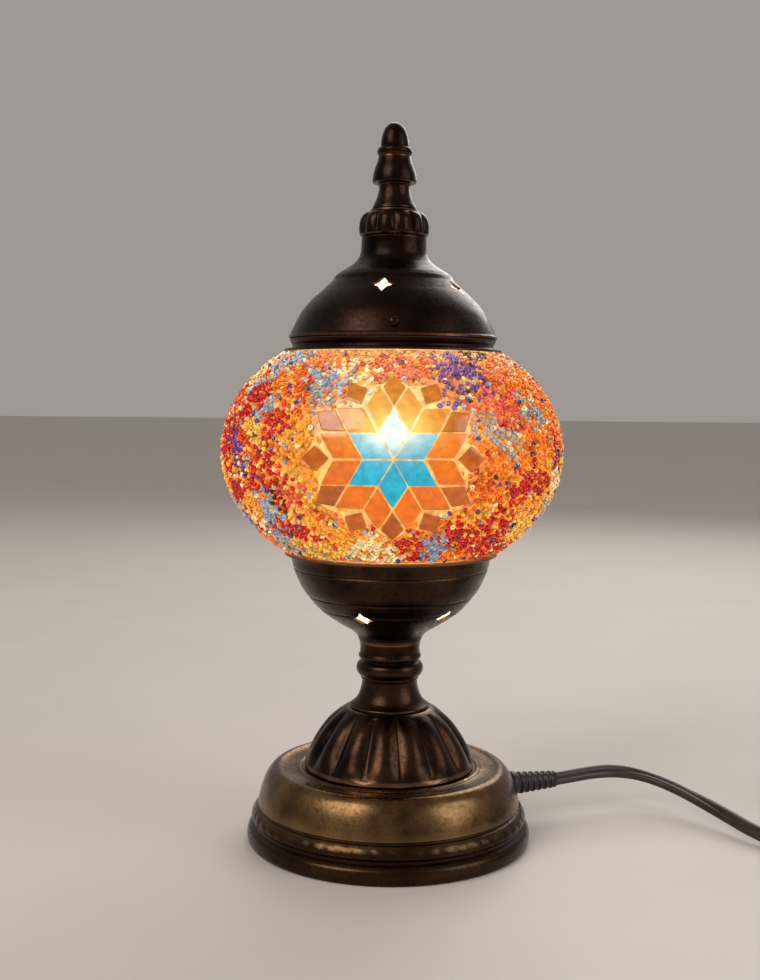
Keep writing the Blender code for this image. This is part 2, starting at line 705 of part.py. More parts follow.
def build_cap(bronze, steel):
    """The fitter ring on the globe, the cap with its screws, and the finial on its stud."""
    flange_radius = CAP_RADIUS + FITTER_OVERHANG
    flange_top = FLANGE_FOOT + LIP_THICKNESS
    glass_at_flange = GLASS_RADIUS * sqrt(
        1 - ((FLANGE_FOOT - GLOBE_CENTRE) / GLASS_HALF_HEIGHT) ** 2
    )
    ledge = CAP_EDGE - GAP
    skirt = []
    for share in (1.0, 0.5, 0.0):
        height = CAP_EDGE + share * SKIRT_HEIGHT
        skirt.append((radius_at(CAP_INSIDE, height) - SLIP, height))
    bore = skirt[0][0] - SHEET
    inner_ledge = GLOBE_TOP + GAP
    fitter = [
        *skirt,
        (skirt[-1][0], ledge),
        (CAP_RADIUS - SLIP, ledge),
        (CAP_RADIUS - SLIP, ledge - SHEET),
        (CAP_RADIUS - SHEET, ledge - SHEET - SLIP),
        (CAP_RADIUS - SHEET, flange_top),
        (flange_radius, flange_top),
        (flange_radius, FLANGE_FOOT),
        (glass_at_flange + SLIP, FLANGE_FOOT),
        (glass_at_flange + SLIP, inner_ledge),
        (MOUTH_RADIUS - GLASS_WALL, inner_ledge),
        (MOUTH_RADIUS - GLASS_WALL, inner_ledge + SHEET),
        (bore, inner_ledge + SHEET + SLIP),
        (bore, skirt[0][1]),
    ]
    turned("fitter_ring", fitter, bronze)

    outer = [(STUD_CLEAR, CAP_TOP), *CAP_OUTLINE]
    wall = shell(outer, SHEET)
    wall[-1] = (STUD_CLEAR, CAP_TOP - SHEET)
    wall[-2] = (CAP_NECK_RADIUS - SHEET, CAP_TOP - SHEET)
    wall[len(outer)] = (CAP_RADIUS - SHEET, CAP_EDGE)
    cap = turned("cap_dome", wall, bronze)
    height = CAP_EDGE + CAP_STAR_RISE
    cut_stars(cap, "cap_stars", CAP_OUTLINE, height, CAP_STARS, CAP_STAR_ANGLE, bronze)

    screw_height = CAP_EDGE + CAP_SCREW_RISE
    skirt_here = radius_at([*skirt], screw_height)
    head = radius_at(CAP_OUTLINE, screw_height - SCREW_HEAD_RADIUS) + GAP
    tip = skirt_here + GAP + CAP_SCREW_RADIUS * 0.6
    drills = []
    for number in range(CAP_SCREWS):
        angle = number * 2 * pi / CAP_SCREWS
        reach = CAP_SCREW_RADIUS + SLIP
        depth = 4 * SHEET
        drill = spun([(0, depth), (reach, depth), (reach, -depth), (0, -depth)], TINY_SIDES)
        bmesh.ops.rotate(drill, verts=drill.verts, matrix=outward(angle))
        bmesh.ops.translate(drill, verts=drill.verts, vec=around(angle, head, screw_height))
        drills.append(drill)
        outline = [
            (0, head + SCREW_HEAD_THICKNESS),
            (SCREW_HEAD_RADIUS * 0.7, head + SCREW_HEAD_THICKNESS),
            (SCREW_HEAD_RADIUS, head + SCREW_HEAD_THICKNESS * 0.6),
            (SCREW_HEAD_RADIUS, head),
            (CAP_SCREW_RADIUS, head),
            (CAP_SCREW_RADIUS, tip),
            (0, tip),
        ]
        spot = (0, 0, screw_height)
        turned(f"cap_screw_{number + 1}", outline, steel, TINY_SIDES, spot, outward(angle))
    cut(cap, place("cap_screw_holes", join_bodies(drills), steel), "screw holes")

    build_finial(bronze, steel)


def build_finial(bronze, steel):
    """The fluted collar, cone, bell and tip, held on the cap by a stud and a nut."""
    outer = scaled(COLLAR_CURVE, COLLAR_RADIUS, COLLAR_HEIGHT, COLLAR_FOOT)
    top = COLLAR_FOOT + COLLAR_HEIGHT
    collar = spun([*outer, (STUD_CLEAR, COLLAR_FOOT), (STUD_CLEAR, top)], 2 * FLUTES, -pi / 2)
    flute(collar, FLUTES, 0.0, FLUTE_DEPTH, COLLAR_FOOT, top)
    place("cap_collar", collar, bronze)

    cone = [
        (CONE_WAIST, CONE_FOOT + CONE_HEIGHT),
        (CONE_WAIST, CONE_FOOT + 0.78 * CONE_HEIGHT),
        (CONE_WAIST + 0.0004, CONE_FOOT + 0.58 * CONE_HEIGHT),
        (CONE_RADIUS - 0.0008, CONE_FOOT + 0.25 * CONE_HEIGHT),
        (CONE_RADIUS, CONE_FOOT),
        (STUD_CLEAR, CONE_FOOT),
        (STUD_CLEAR, CONE_FOOT + CONE_HEIGHT),
    ]
    turned("finial_cone", cone, bronze, SMALL_SIDES)

    bell = [
        (BELL_TOP_RADIUS, BELL_FOOT + BELL_HEIGHT),
        (BELL_TOP_RADIUS + 0.0006, BELL_FOOT + 0.80 * BELL_HEIGHT),
        (BELL_RADIUS - 0.0004, BELL_FOOT + 0.50 * BELL_HEIGHT),
        (BELL_RADIUS, BELL_FOOT + 0.20 * BELL_HEIGHT),
        (BELL_RADIUS, BELL_FOOT),
        (STUD_CLEAR, BELL_FOOT),
        (STUD_CLEAR, BELL_FOOT + BELL_HEIGHT),
    ]
    turned("finial_bell", bell, bronze, SMALL_SIDES)

    bead, tip_top = TIP_FOOT + 0.15 * TIP_HEIGHT, TIP_FOOT + TIP_HEIGHT
    socket_depth = 0.45 * TIP_HEIGHT
    tip = [
        (0, tip_top),
        (TIP_RADIUS * 0.34, TIP_FOOT + 0.91 * TIP_HEIGHT),
        (TIP_RADIUS * 0.59, TIP_FOOT + 0.78 * TIP_HEIGHT),
        (TIP_RADIUS * 0.74, TIP_FOOT + 0.52 * TIP_HEIGHT),
        (TIP_RADIUS * 0.78, TIP_FOOT + 0.32 * TIP_HEIGHT),
        (TIP_RADIUS * 0.97, bead + 0.0006),
        (TIP_RADIUS, bead),
        (TIP_RADIUS * 0.92, TIP_FOOT),
        (STUD_CLEAR, TIP_FOOT),
        (STUD_CLEAR, TIP_FOOT + socket_depth),
        (0, TIP_FOOT + socket_depth),
    ]
    turned("finial_tip", tip, bronze, SMALL_SIDES)

    under = CAP_TOP - SHEET - GAP
    nut_top = under - WASHER_THICKNESS - GAP
    stud_low = nut_top - STUD_NUT_HEIGHT - STUD_BELOW_NUT
    stud_high = TIP_FOOT + socket_depth - GAP
    stud = [(0, stud_high), (STUD_RADIUS, stud_high), (STUD_RADIUS, stud_low), (0, stud_low)]
    turned("finial_stud", stud, steel, TINY_SIDES)
    reach = CAP_NECK_RADIUS - SHEET - 2 * SLIP
    washer_ring("finial_washer", STUD_CLEAR, reach, under - WASHER_THICKNESS, under, steel)
    hex_nut("finial_nut", STUD_CLEAR, STUD_NUT_RADIUS, nut_top - STUD_NUT_HEIGHT, nut_top, steel)


def washer_ring(name, bore, radius, low, high, material, sides=SMALL_SIDES):
    """A flat ring."""
    turned(name, [(radius, high), (radius, low), (bore, low), (bore, high)], material, sides)


def hex_nut(name, bore, radius, low, high, material):
    """A six-sided nut with a round bore."""
    nut = spun([(radius, high), (radius, low), (bore, low), (bore, high)], NUT_SIDES)
    flat = radius * cos(pi / 6)
    for corner in nut.verts:
        reach = hypot(corner.co.x, corner.co.y)
        angle = atan2(corner.co.y, corner.co.x)
        if reach > bore + GAP and round(degrees(angle) / 30) % 2:
            corner.co.x *= flat / reach
            corner.co.y *= flat / reach
    place(name, nut, material, smooth=False)


def build_tube_and_socket(steel, brass, bakelite, lead_colour):
    """The threaded tube that clamps the pedestal, and the socket on its top."""
    tube_top = SOCKET_FOOT + TUBE_IN_SOCKET
    bore, radius = TUBE_BORE, TUBE_RADIUS
    tube = [(radius, tube_top), (radius, TUBE_FOOT), (bore, TUBE_FOOT), (bore, tube_top)]
    turned("threaded_tube", tube, steel, SMALL_SIDES)

    washer_top = BASE_TOP - SHEET - GAP
    washer_low = washer_top - WASHER_THICKNESS
    wide = WASHER_RADIUS + BASE_WASHER_EXTRA
    washer_ring("base_washer", TUBE_CLEAR, wide, washer_low, washer_top, steel)
    hex_nut("base_nut", TUBE_CLEAR, NUT_RADIUS, BASE_NUT_TOP - NUT_HEIGHT, BASE_NUT_TOP, steel)
    floor = CUP_FOOT + SHEET + GAP
    washer_ring("cup_washer", TUBE_CLEAR, WASHER_RADIUS, floor, floor + WASHER_THICKNESS, steel)
    low = floor + WASHER_THICKNESS + GAP
    hex_nut("cup_nut", TUBE_CLEAR, NUT_RADIUS, low, low + NUT_HEIGHT, steel)

    outer, wall = SOCKET_RADIUS, SOCKET_WALL
    foot_top = SOCKET_FOOT + FOOT_HEIGHT
    foot = [
        (outer, foot_top),
        (outer, SOCKET_FOOT + FOOT_CHAMFER),
        (outer - FOOT_CHAMFER, SOCKET_FOOT),
        (TUBE_CLEAR, SOCKET_FOOT),
        (TUBE_CLEAR, SOCKET_FOOT + FOOT_PLATE),
        (outer - wall, SOCKET_FOOT + FOOT_PLATE),
        (outer - wall, foot_top),
    ]
    turned("socket_foot", foot, bakelite, SMALL_SIDES)

    body_top = SOCKET_BODY_FOOT + SOCKET_HEIGHT
    sleeve_inner = SCREW_CAP_RADIUS + SLIP
    sleeve_outer = sleeve_inner + SLEEVE_THICKNESS
    shoulder = sleeve_outer + GAP
    floor = SOCKET_BODY_FOOT + SOCKET_WALL
    body = [
        (outer, body_top),
        (outer, SOCKET_BODY_FOOT),
        (CONTACT_HOLE_RADIUS, SOCKET_BODY_FOOT),
        (CONTACT_HOLE_RADIUS, floor),
        (shoulder, floor),
        (shoulder, body_top),
    ]
    turned("socket_body", body, bakelite, SMALL_SIDES)
    low, high = floor + GAP, body_top - SLEEVE_BELOW_RIM
    washer_ring("socket_sleeve", sleeve_inner, sleeve_outer, low, high, brass)
    tongue_top = BULB_TIP - GAP
    tongue = [
        (0, tongue_top),
        (CONTACT_RADIUS, tongue_top - CONTACT_TIP_ROUND),
        (CONTACT_RADIUS, SOCKET_BODY_FOOT - CONTACT_TAIL),
        (0, SOCKET_BODY_FOOT - CONTACT_TAIL),
    ]
    turned("socket_contact", tongue, brass, TINY_SIDES)

    side = sin(CORD_EXIT_ANGLE), -cos(CORD_EXIT_ANGLE)
    gland_tip = GLAND_SEAT + GLAND_LENGTH
    run = [(gland_tip, CORD_EXIT_HEIGHT), (gland_tip - LEAD_IN_GLAND, CORD_EXIT_HEIGHT)]
    run += [*INNER_LEAD_RUN, (0.0, SOCKET_FOOT + LEAD_IN_SOCKET)]
    route = [(along * side[0], along * side[1], height) for along, height in run]
    lead("inner_lead", route, CORD_WIDTH / 2, lead_colour, 0.0050, 2)


def build_bulb(clear_glass, brass, steel, black):
    """A round screw-in bulb with its stem and filament."""
    button_top = BULB_TIP + BULB_CONTACT_HEIGHT
    shoulder = (0.83 * BULB_CONTACT_RADIUS, BULB_TIP + BULB_CONTACT_HEIGHT / 3)
    button = [(0, button_top), (BULB_CONTACT_RADIUS, button_top), shoulder, (0, BULB_TIP)]
    turned("bulb_contact", button, brass, TINY_SIDES)
    low, high = button_top + GAP, BULB_CAP_FOOT - GAP
    collar = [(0, high), (SCREW_CAP_RADIUS - INSULATOR_STEP, high), (INSULATOR_TIP, low), (0, low)]
    turned("bulb_insulator", collar, black, SMALL_SIDES)
    inner = SCREW_CAP_RADIUS - SCREW_CAP_WALL
    washer_ring("bulb_screw_cap", inner, SCREW_CAP_RADIUS, BULB_CAP_FOOT, BULB_CAP_TOP, brass)

    neck = inner - GAP
    centre = BULB_TOP - BULB_RADIUS
    angles = [radians(90 - 20 * step) for step in range(8)]
    ball = [(BULB_RADIUS * cos(angle), centre + BULB_RADIUS * sin(angle)) for angle in angles]
    ball[0] = (0.0, BULB_TOP)
    throat = BULB_CAP_TOP + THROAT_RISE
    middle = (0.55 * ball[-1][0] + 0.45 * neck, 0.5 * (ball[-1][1] + throat))
    outer = [*ball, middle, (neck, throat), (neck, BULB_CAP_TOP - GLASS_IN_CAP)]
    inside = offset(outer, -BULB_GLASS_WALL)
    inside[0] = (0.0, BULB_TOP - BULB_GLASS_WALL)
    turned("bulb_glass", outer + inside[::-1], clear_glass, SMALL_SIDES)

    stem_low, stem_high = BULB_CAP_TOP - STEM_BELOW, BULB_CAP_TOP + STEM_ABOVE
    stem_height = stem_high - stem_low
    stem = [
        (0, stem_high),
        (STEM_TIP_RADIUS, stem_high),
        (STEM_NECK_RADIUS, stem_low + 0.52 * stem_height),
        (0.91 * STEM_FOOT_FLARE, stem_low + 0.13 * stem_height),
        (STEM_FOOT_FLARE, stem_low),
        (0, stem_low),
    ]
    turned("bulb_stem", stem, clear_glass, TINY_SIDES)
    rise = BULB_TOP - BULB_RADIUS
    arc = []
    for step in range(7):
        turn = pi * step / 6
        arc.append((-FILAMENT_SPAN * cos(turn), FILAMENT_ARCH * sin(turn), rise))
    foot, knee = stem_high + GAP + 2 * FILAMENT_RADIUS, rise - FILAMENT_DROP
    route = [(-FILAMENT_FOOT, 0, foot), (-FILAMENT_LEG, 0, knee), *arc]
    route += [(FILAMENT_LEG, 0, knee), (FILAMENT_FOOT, 0, foot)]
    lead("bulb_filament", route, FILAMENT_RADIUS, steel, FILAMENT_SPAN / 4, 0)


GLAND_SHANK = CORD_WIDTH / 2 + 2 * GAP + GLAND_WALL
GLAND_SEAT = radius_at(BASE_OUTLINE, CORD_EXIT_HEIGHT - GLAND_FLANGE) + GAP


def build_cord(black, brass):
    """The gland, the free cord with its switch, its coil and its plug."""
    bore = CORD_WIDTH / 2 + GAP
    gland = [
        (bore + GLAND_TIP_WALL, GLAND_SEAT + GLAND_LENGTH),
        (bore + GLAND_ROOT_WALL, GLAND_SEAT + 1.7 * GLAND_FLANGE_THICKNESS),
        (GLAND_FLANGE, GLAND_SEAT + GLAND_FLANGE_THICKNESS),
        (GLAND_FLANGE, GLAND_SEAT),
        (GLAND_SHANK, GLAND_SEAT),
        (GLAND_SHANK, GLAND_SEAT - GLAND_IN_BASE),
        (bore, GLAND_SEAT - GLAND_IN_BASE),
        (bore, GLAND_SEAT + GLAND_LENGTH),
    ]
    spot = (0, 0, CORD_EXIT_HEIGHT)
    turned("cord_gland", gland, black, SMALL_SIDES, spot, outward(CORD_EXIT_ANGLE))

    tip = around(CORD_EXIT_ANGLE, GLAND_SEAT + GLAND_LENGTH + 2 * GAP, CORD_EXIT_HEIGHT)
    spacing = 2.2 * CORD_WIDTH
    lead("supply_cord", [tip, *ROUTE_TO_SWITCH], CORD_WIDTH / 2, black, spacing)
    lead("switch_cord", ROUTE_TO_COIL, CORD_WIDTH / 2, black, spacing)
    lead("plug_cord", ROUTE_TO_PLUG, CORD_WIDTH / 2, black, spacing)

    spot = (*COIL_CENTRE, 0.0)
    low, high, rounding = TABLE_CLEAR, COIL_HEIGHT, COIL_ROUNDING
    ring = [
        (COIL_OUTER - rounding, high),
        (COIL_OUTER, high - rounding),
        (COIL_OUTER, low + rounding),
        (COIL_OUTER - rounding, low),
        (COIL_INNER + rounding, low),
        (COIL_INNER, low + rounding),
        (COIL_INNER, high - rounding),
        (COIL_INNER + rounding, high),
    ]
    turned("cord_coil", ring, black, SIDES, spot)
    build_tie(black)
    build_plug(black, brass)


def build_tie(black):
    """A strap over the coil's bundle of turns, open underneath."""
    inside = (COIL_OUTER - COIL_INNER) / 2 + GAP
    outside = inside + TIE_THICKNESS
    low, high = TABLE_CLEAR, COIL_HEIGHT + GAP
    top = high + TIE_THICKNESS
    strap = [(-outside, low), (-outside, top), (outside, top), (outside, low)]
    strap += [(inside, low), (inside, high), (-inside, high), (-inside, low)]
    middle = (COIL_OUTER + COIL_INNER) / 2
    along = Vector((middle * cos(TIE_ANGLE), middle * sin(TIE_ANGLE), 0))
    turn = Matrix.Rotation(TIE_ANGLE, 3, "Z")
    spot = Vector((*COIL_CENTRE, 0)) + along
    place("coil_tie", prism(strap, TIE_WIDTH), black, spot, turn, smooth=False)


def build_plug(black, brass):
    """A flat two-pin plug, lying flat beside the coil."""
    ahead = Vector((cos(PLUG_TOWARDS), sin(PLUG_TOWARDS), 0))
    aside = Vector((-ahead.y, ahead.x, 0))
    turn = Matrix.Rotation(PLUG_TOWARDS, 3, "Z")
    height = PLUG_THICKNESS / 2 + TABLE_CLEAR
    head = Vector((*PLUG_HEAD, height))
    body = block((PLUG_LENGTH, PLUG_WIDTH, PLUG_THICKNESS), PLUG_EDGE)
    for corner in body.verts:
        back = 0.5 - corner.co.x / PLUG_LENGTH
        corner.co.y *= 1 - PLUG_NARROWING * back**2
        corner.co.z *= 1 - PLUG_THINNING * back**2
    middle = head + ahead * (PLUG_LENGTH / 2 + PLUG_CLEAR)
    place("plug_body", body, black, middle, turn)
    for number, side in enumerate((-1, 1)):
        start = head + ahead * (PLUG_LENGTH + PLUG_CLEAR + GAP) + aside * side * PIN_SPACING / 2
        ends = ((0, PIN_LENGTH), (PIN_RADIUS * 0.6, PIN_LENGTH), (PIN_RADIUS, PIN_LENGTH - PIN_TAPER))
        pin = [*ends, (PIN_RADIUS, 0), (0, 0)]
        lying = turn @ Matrix.Rotation(pi / 2, 3, "Y")
        turned(f"plug_pin_{number + 1}", pin, brass, TINY_SIDES, start, lying)


def build_switch(black, brass, red):
    """The in-line switch, with its rocker's origin on the rocker's own axis."""
    near, far = Vector((*SWITCH_END_NEAR, 0)), Vector((*SWITCH_END_FAR, 0))
    along = far - near
    length = along.length
    turn = Matrix.Rotation(atan2(along.y, along.x), 3, "Z")
    middle = (near + far) / 2

    def half_shell(name, low, high, window):
        body = block((length, SWITCH_WIDTH, high - low), 0.0)
        place_at = middle + Vector((0, 0, (low + high) / 2))
        piece = place(name, body, black, place_at, turn, smooth=False)
        hollow_low = low - SWITCH_WALL if window else low + SWITCH_WALL
        hollow_high = high - SWITCH_WALL if window else high + SWITCH_WALL
        size = (length - 4 * SWITCH_WALL, SWITCH_WIDTH - 2 * SWITCH_WALL, hollow_high - hollow_low)
        spot = middle + Vector((0, 0, (hollow_low + hollow_high) / 2))
        cut(piece, place(name + "_hollow", block(size, 0.0), black, spot, turn), "hollow")
        return piece

    half_shell("switch_lower_shell", TABLE_CLEAR, SWITCH_SPLIT, False)
    upper = half_shell("switch_upper_shell", SWITCH_SPLIT + GAP, SWITCH_HEIGHT, True)
    half = ROCKER_LENGTH / 2
    top = ROCKER_CROWN + half * sin(ROCKER_TILT)
    swing = half * cos(ROCKER_TILT) + top * sin(ROCKER_TILT) + SLIP
    size = (2 * swing, ROCKER_WIDTH + 2 * SLIP, ROCKER_WINDOW_DEPTH)
    above = middle + Vector((0, 0, SWITCH_HEIGHT))
    cut(upper, place("rocker_window", block(size, 0.0), black, above, turn), "rocker window")

    axis_height = SWITCH_HEIGHT - ROCKER_AXIS_DROP
    outline = [
        (-half, top),
        (0.0, ROCKER_CROWN),
        (half, top),
        (half * 0.97, -ROCKER_HEEL),
        (ROCKER_BELLY_HALF, -ROCKER_BELLY),
        (-ROCKER_BELLY_HALF, -ROCKER_BELLY),
        (-half * 0.97, -ROCKER_HEEL),
    ]
    rocker = prism(outline, ROCKER_WIDTH)
    tilted = turn @ Matrix.Rotation(ROCKER_TILT, 3, "Y")
    place("switch_rocker", rocker, red, middle + Vector((0, 0, axis_height)), tilted, smooth=False)

    contact = block(SWITCH_CONTACT, 0.0)
    low = SWITCH_WALL + TABLE_CLEAR + GAP
    spot = middle + Vector((0, 0, low + SWITCH_CONTACT[2] / 2))
    place("switch_contact", contact, brass, spot, turn, smooth=False)


def main():
    """Builds every piece in an empty scene."""
    for old in list(bpy.data.objects):
        bpy.data.objects.remove(old)

    bronze = finish("antique bronze", (0.055, 0.035, 0.020), 0.38, 1.0)
    steel = finish("zinc-plated steel", (0.55, 0.54, 0.50), 0.35, 1.0)
    brass = finish("brass", (0.72, 0.53, 0.25), 0.30, 1.0)
    felt = finish("green-black felt", (0.030, 0.045, 0.035), 0.95, 0.0)
    rubber = finish("grey rubber", (0.080, 0.078, 0.075), 0.80, 0.0)
    glass = finish("warm clear glass", (0.95, 0.86, 0.70), 0.10, 0.0)
    beads = finish("seed beads", (0.80, 0.36, 0.12), 0.35, 0.0)
    tile = finish("cut glass tiles", (0.86, 0.46, 0.12), 0.20, 0.0)
    bulb_glass = finish("frosted bulb glass", (1.00, 0.90, 0.72), 0.25, 0.0)
    bakelite = finish("black bakelite", (0.030, 0.027, 0.025), 0.40, 0.0)
    cord = finish("dark brown flex", (0.030, 0.020, 0.014), 0.45, 0.0)
    red = finish("rocker red", (0.45, 0.030, 0.020), 0.35, 0.0)

    build_base(bronze, steel, felt)
    build_pedestal(bronze)
    build_globe(glass, beads, tile, rubber, steel)
    build_cap(bronze, steel)
    build_tube_and_socket(steel, brass, bakelite, cord)
    build_bulb(bulb_glass, brass, steel, bakelite)
    build_cord(cord, brass)
    build_switch(cord, brass, red)


if __name__ == "__main__":
    main()
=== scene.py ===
"""Looks of the mosaic glass table lamp, in metres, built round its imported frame.

Angles round the lamp's axis are measured from the front (-Y) towards +X, as in the frame.
"""

import logging
from dataclasses import dataclass
from enum import Enum
from math import atan2, cos, hypot, inf, pi, radians, sin, sqrt
from typing import Callable, Iterable, Sequence

import bpy
import numpy as np
from mathutils import Matrix, Vector


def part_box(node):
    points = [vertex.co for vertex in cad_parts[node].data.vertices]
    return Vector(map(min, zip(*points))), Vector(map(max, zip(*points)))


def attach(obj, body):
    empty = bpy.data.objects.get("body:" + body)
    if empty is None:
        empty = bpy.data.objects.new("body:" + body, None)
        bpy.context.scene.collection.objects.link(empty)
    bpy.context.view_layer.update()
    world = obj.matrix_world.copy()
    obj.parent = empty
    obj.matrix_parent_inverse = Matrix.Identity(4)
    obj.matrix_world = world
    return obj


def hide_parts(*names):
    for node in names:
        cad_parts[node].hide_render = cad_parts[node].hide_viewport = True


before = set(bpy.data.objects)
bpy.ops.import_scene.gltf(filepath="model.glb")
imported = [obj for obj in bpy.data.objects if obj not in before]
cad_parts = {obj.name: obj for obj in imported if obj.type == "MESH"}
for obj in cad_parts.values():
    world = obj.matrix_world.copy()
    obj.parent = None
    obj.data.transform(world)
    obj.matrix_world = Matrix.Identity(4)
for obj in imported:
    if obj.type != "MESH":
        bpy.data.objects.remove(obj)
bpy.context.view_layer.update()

LOG = logging.getLogger("lamp")
MM = 0.001
GAP = 0.0003
MID_NOISE = (0.3, 0.7)
HAIR = 1e-6

Outline = list[tuple[float, float]]
Colour = tuple[float, float, float]
Mesh = bpy.types.Object


class Body(Enum):
    """The moving bodies of the frame."""

    ROOT = "root"
    GLOBE = "globe"
    CAP = "cap"
    BULB = "bulb"
    ROCKER = "rocker"


class Slot(Enum):
    """The record's material slots."""

    BRONZE = "bronze"
    STEEL = "steel"
    BRASS = "brass"
    FELT = "felt"
    RUBBER = "rubber"
    GLASS = "globe_glass"
    BEADS = "beads"
    TILES = "tiles"
    BULB_GLASS = "bulb_glass"
    BAKELITE = "bakelite"
    FLEX = "flex"
    ROCKER = "rocker_plastic"


# Outlines


def curve(points: Sequence[Sequence[float]], steps: int) -> np.ndarray:
    """Makes a smooth curve through points, on a plane or in space.

    Args:
        points: What the curve passes through.
        steps: Points made for each of the stretches between them.

    Returns:
        The curve's points, one row each.
    """
    knots = np.array(points, float)
    knots = np.vstack([2 * knots[0] - knots[1], knots, 2 * knots[-1] - knots[-2]])
    made = []
    for before, here, after, beyond in zip(knots, knots[1:], knots[2:], knots[3:]):
        for t in np.linspace(0, 1, steps, endpoint=False):
            bend = (2 * before - 5 * here + 4 * after - beyond) * t**2
            twist = (3 * here - before - 3 * after + beyond) * t**3
            made.append(0.5 * (2 * here + (after - before) * t + bend + twist))
    return np.array([*made, knots[-2]])


def run_along(path: np.ndarray) -> np.ndarray:
    """How far along a path each of its points lies."""
    return np.concatenate([[0.0], np.cumsum(np.linalg.norm(np.diff(path, axis=0), axis=1))])


def profile(*runs: Sequence[tuple[float, float]], steps: int = 4) -> Outline:
    """Joins smooth runs, given in millimetres, into one outline with sharp corners between them.

    Args:
        runs: The runs, each starting where the one before ends or a straight step away.
        steps: Points for each stretch of a run.

    Returns:
        The outline in metres.
    """
    made: Outline = []
    for run in runs:
        for radius, height in curve(run, steps) if len(run) > 2 else run:
            spot = (radius * MM, height * MM)
            if not made or hypot(spot[0] - made[-1][0], spot[1] - made[-1][1]) > 1e-5:
                made.append(spot)
    return made


def inner_side(outer: Outline, wall: float, count: int) -> Outline:
    """The inner side of a turned wall.

    Args:
        outer: Its outer side.
        wall: The wall's thickness, to the right of the outer side's direction.
        count: How many points the inner side takes.

    Returns:
        The inner side, in the outer side's direction.
    """
    line = np.array(outer)
    run = run_along(line)
    spots = np.linspace(0, run[-1], count)
    reach = run[-1] / count

    def at(places: np.ndarray) -> np.ndarray:
        """The points at distances along the outer side."""
        places = np.clip(places, 0, run[-1])
        return np.column_stack([np.interp(places, run, line[:, axis]) for axis in (0, 1)])

    heading = at(spots + reach) - at(spots - reach)
    heading /= np.hypot(*heading.T)[:, None]
    moved = at(spots) - wall * np.column_stack([-heading[:, 1], heading[:, 0]])
    return [(max(float(radius), 1e-4), float(height)) for radius, height in moved]


def scored(outline: Outline, heights: Iterable[float], depth: float, width: float) -> Outline:
    """Turns fine grooves into an outline.

    Args:
        outline: The outline, in metres.
        heights: Where the grooves are.
        depth: How deep they are.
        width: How wide they are.

    Returns:
        The grooved outline.
    """
    made = []
    for radius, height in outline:
        near = min(abs(height - groove) for groove in heights)
        made.append((radius - depth * max(0.0, 1 - 2 * near / width), height))
    return made


# Work on the bench


def take_all() -> None:
    """Selects the whole mesh that is being edited."""
    bpy.ops.mesh.select_all(action="SELECT")


def leave_edit() -> None:
    """Goes back to object mode."""
    bpy.ops.object.mode_set(mode="OBJECT")


def deselect() -> None:
    """Leaves every object unselected, in object mode."""
    if bpy.context.mode != "OBJECT":
        leave_edit()
    bpy.ops.object.select_all(action="DESELECT")


def pick(piece: Mesh) -> None:
    """Selects one piece only."""
    deselect()
    piece.select_set(True)
    bpy.context.view_layer.objects.active = piece


def settle(piece: Mesh, name: str, angle: float = 35.0) -> Mesh:
    """Names a piece, applies its place and shades it smooth up to an angle in degrees."""
    pick(piece)
    bpy.ops.object.transform_apply(location=True, rotation=True, scale=True)
    bpy.ops.object.shade_smooth_by_angle(angle=radians(angle))
    piece.name = name
    piece.data.name = name
    return piece


def soften(piece: Mesh, width: float, segments: int = 2, angle: float = 30.0) -> None:
    """Rounds the edges of a piece that are sharper than an angle in degrees."""
    pick(piece)
    edge = piece.modifiers.new("soft edges", "BEVEL")
    edge.width = width
    edge.segments = segments
    edge.limit_method = "ANGLE"
    edge.angle_limit = radians(angle)
    bpy.ops.object.modifier_apply(modifier=edge.name)


def carve(piece: Mesh, cutter: Mesh) -> None:
    """Cuts one mesh out of another and throws the cutter away."""
    pick(piece)
    hole = piece.modifiers.new("cut", "BOOLEAN")
    hole.object = cutter
    hole.operation = "DIFFERENCE"
    hole.solver = "EXACT"
    bpy.ops.object.modifier_apply(modifier=hole.name)
    bpy.data.objects.remove(cutter)


def lathe(name: str, outline: Outline, steps: int = 128, closed: bool = True) -> Mesh:
    """Turns an outline round the lamp's axis.

    Args:
        name: The piece's name.
        outline: Radius and height of each point.
        steps: Steps of the turn.
        closed: Whether the last point joins the first.

    Returns:
        The turned piece.
    """
    deselect()
    bpy.ops.mesh.primitive_plane_add(size=MM, enter_editmode=True)
    piece = bpy.context.object
    take_all()
    bpy.ops.mesh.merge(type="CENTER")
    bpy.ops.transform.translate(value=(outline[0][0], 0.0, outline[0][1]))
    path = [*outline, outline[0]] if closed else outline
    for here, there in zip(path, path[1:]):
        step = (there[0] - here[0], 0.0, there[1] - here[1])
        bpy.ops.mesh.extrude_vertices_move(TRANSFORM_OT_translate={"value": step})
    take_all()
    bpy.ops.mesh.spin(steps=steps, angle=2 * pi, center=(0, 0, 0), axis=(0, 0, 1))
    take_all()
    bpy.ops.mesh.remove_doubles(threshold=2e-6)
    bpy.ops.mesh.normals_make_consistent(inside=False)
    leave_edit()
    face_out(piece)
    return settle(piece, name)


def hollow(name: str, outer: Outline, wall: float, count: int, ends: Outline, steps: int,
           closed: bool = True) -> Mesh:
    """Turns a wall of an even thickness.

    Args:
        name: The piece's name.
        outer: Its outer side.
        wall: Its thickness.
        count: How many points its inner side takes.
        ends: The first and the last point of its inner side.
        steps: Steps of the turn.
        closed: Whether the inner side's start joins the outer side's.

    Returns:
        The turned piece.
    """
    inner = inner_side(outer, wall, count)
    inner[0], inner[-1] = ends
    return lathe(name, [*outer, *inner[::-1]], steps, closed)


